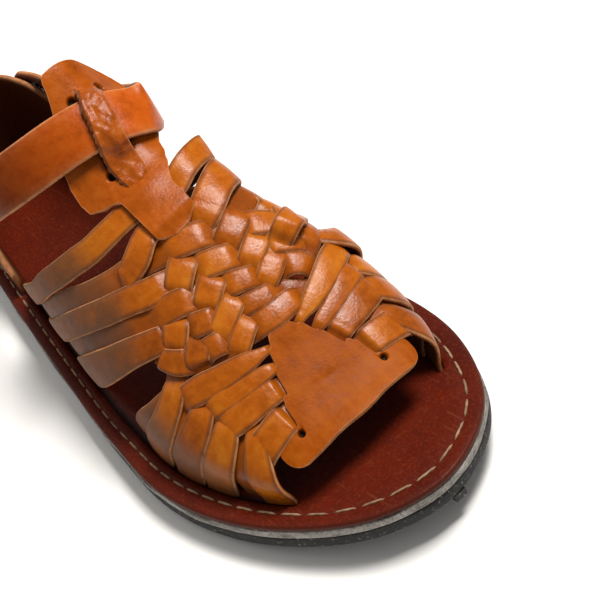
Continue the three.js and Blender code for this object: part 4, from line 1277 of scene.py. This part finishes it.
class SANDAL_OT_counter(bpy.types.Operator):
    """Heel counter with a rolled top edge and a row of stitches"""
    bl_idname = "sandal.counter"
    bl_label = "Heel counter"

    def execute(self, context):
        end = COUNTER_TOP[-1, 0]
        distance = np.linspace(-end, end, 170)[:, None]
        top = column(COUNTER_TOP, 1, np.abs(distance))
        floor = INSOLE_TOP + 0.2
        share = np.array([0, 0.15, 0.3, 0.45, 0.6, 0.75, 0.88, 0.96])
        flat = np.zeros(len(share))
        outer = floor + (top - 0.8 - floor) * share
        height = np.hstack([outer, top - 0.2, top + 0.25, top - 0.2, outer[:, ::-1]])
        lift = np.hstack([flat, -0.5, -COUNTER_WALL / 2, 0.5 - COUNTER_WALL,
                          flat - COUNTER_WALL])
        edge = np.hstack([flat, 0.8, 1, 0.6, flat])
        # inside: 1 on the inner face, which gets the underside's colour and painted shade
        inside = np.hstack([flat, 0, 0.3, 0.7, flat + 1])
        uv = np.stack(np.broadcast_arrays(distance, height), axis=-1)
        shape = Shape()
        shape.tube(counter_point(distance, height, lift), uv, {
            "cut": edge, "flesh": inside * 0.9, "deep": inside * 0.8, "down": 0.4})
        piece = shape.build("heel_counter_leather", material("counter"), "heel_counter")
        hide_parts("heel_counter")
        thread = Shape()
        run = np.linspace(4 - end, end - 4, 200)
        height = column(COUNTER_TOP, 1, np.abs(run)) - COUNTER_STITCH_DROP
        line = counter_point(run, height, 0.1)
        add_stitches(thread, line, unit(line - counter_point(run, height, -COUNTER_WALL)))
        thread.build("counter_stitches", material("thread"), "heel_counter")
        return {"FINISHED"}


# ---- stage operator ----
class SANDAL_OT_stage(bpy.types.Operator):
    """Pale floor, soft studio light and the camera"""
    bl_idname = "sandal.stage"
    bl_label = "Stage"

    def execute(self, context):
        scene = context.scene
        scene.view_settings.view_transform = "Standard"
        floor = bpy.data.meshes.new("floor")
        corners = [(-1, -1), (1, -1), (1, 1), (-1, 1)]
        floor.from_pydata([(x * FLOOR_REACH, y * FLOOR_REACH, -FLOOR_DROP) for x, y in corners],
                          [], [(0, 1, 2, 3)])
        piece = bpy.data.objects.new("floor", floor)
        floor.materials.append(material("paper"))
        scene.collection.objects.link(piece)
        world = bpy.data.worlds.new("studio")
        world.use_nodes = True
        sky = world.node_tree.nodes["Background"]
        sky.inputs["Color"].default_value = (*scene.sandal_colours.paper, 1.0)
        sky.inputs["Strength"].default_value = SKY_STRENGTH
        scene.world = world
        add_light("key", *KEY_LIGHT)
        add_light("fill", *FILL_LIGHT)
        add_camera(scene)
        return {"FINISHED"}


def aim(place, target, roll=0.0):
    """A matrix at place, looking at target down its own -Z, turned by roll about that."""
    back = unit(np.asarray(place, float) - np.asarray(target, float))
    right = unit(np.cross((0.0, 0.0, 1.0), back))
    up = np.cross(back, right)
    c, s = math.cos(roll), math.sin(roll)
    x_axis, y_axis = c * right + s * up, c * up - s * right
    rows = np.eye(4)
    rows[:3, 0], rows[:3, 1], rows[:3, 2], rows[:3, 3] = x_axis, y_axis, back, place
    return Matrix(rows.tolist())


def add_light(name, place, size, power):
    lamp = bpy.data.lights.new(name, "AREA")
    lamp.energy = power
    lamp.size = size
    lamp.color = (1.0, 0.97, 0.93)
    light = bpy.data.objects.new(name, lamp)
    light.matrix_world = aim(place, LIGHTS_AIM_AT)
    bpy.context.scene.collection.objects.link(light)


def add_camera(scene):
    target = to_frame(CAMERA_TARGET)
    a, e = math.radians(CAMERA_AZIMUTH), math.radians(CAMERA_ELEVATION)
    back = np.array([math.sin(a) * math.cos(e), -math.cos(a) * math.cos(e), math.sin(e)])
    lens = bpy.data.cameras.new("camera")
    lens.sensor_width = 36.0
    lens.lens = CAMERA_LENS
    lens.clip_start, lens.clip_end = 0.01, 20.0
    camera = bpy.data.objects.new("camera", lens)
    place = target + back * CAMERA_DISTANCE * 0.001
    camera.matrix_world = aim(place, target, math.radians(CAMERA_ROLL))
    scene.collection.objects.link(camera)
    scene.camera = camera


# ---- panel and registration ----
OPERATORS = (
    SANDAL_OT_sole, SANDAL_OT_insole, SANDAL_OT_weave, SANDAL_OT_toe_plate,
    SANDAL_OT_tongue, SANDAL_OT_strap, SANDAL_OT_counter, SANDAL_OT_stage)


class SANDAL_PT_panel(bpy.types.Panel):
    """Lists the sandal's sizes, colours and pieces"""
    bl_idname = "SANDAL_PT_panel"
    bl_label = "Woven sandal"
    bl_space_type = "VIEW_3D"
    bl_region_type = "UI"
    bl_category = "Sandal"

    def draw(self, context):
        sizes, colours = context.scene.sandal_sizes, context.scene.sandal_colours
        for group in (sizes, colours):
            for name in group.__annotations__:
                self.layout.prop(group, name)
        for operator in OPERATORS:
            self.layout.operator(operator.bl_idname)


CLASSES = (SandalColours, SandalSizes, *OPERATORS, SANDAL_PT_panel)


def register():
    for cls in CLASSES:
        bpy.utils.register_class(cls)
    bpy.types.Scene.sandal_colours = bpy.props.PointerProperty(type=SandalColours)
    bpy.types.Scene.sandal_sizes = bpy.props.PointerProperty(type=SandalSizes)


def unregister():
    del bpy.types.Scene.sandal_sizes
    del bpy.types.Scene.sandal_colours
    for cls in reversed(CLASSES):
        bpy.utils.unregister_class(cls)


def main():
    """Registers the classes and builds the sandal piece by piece."""
    register()
    bpy.ops.sandal.sole()
    bpy.ops.sandal.insole()
    bpy.ops.sandal.weave()
    bpy.ops.sandal.toe_plate()
    bpy.ops.sandal.tongue()
    bpy.ops.sandal.strap()
    bpy.ops.sandal.counter()
    bpy.ops.sandal.stage()


if __name__ == "__main__":
    main()
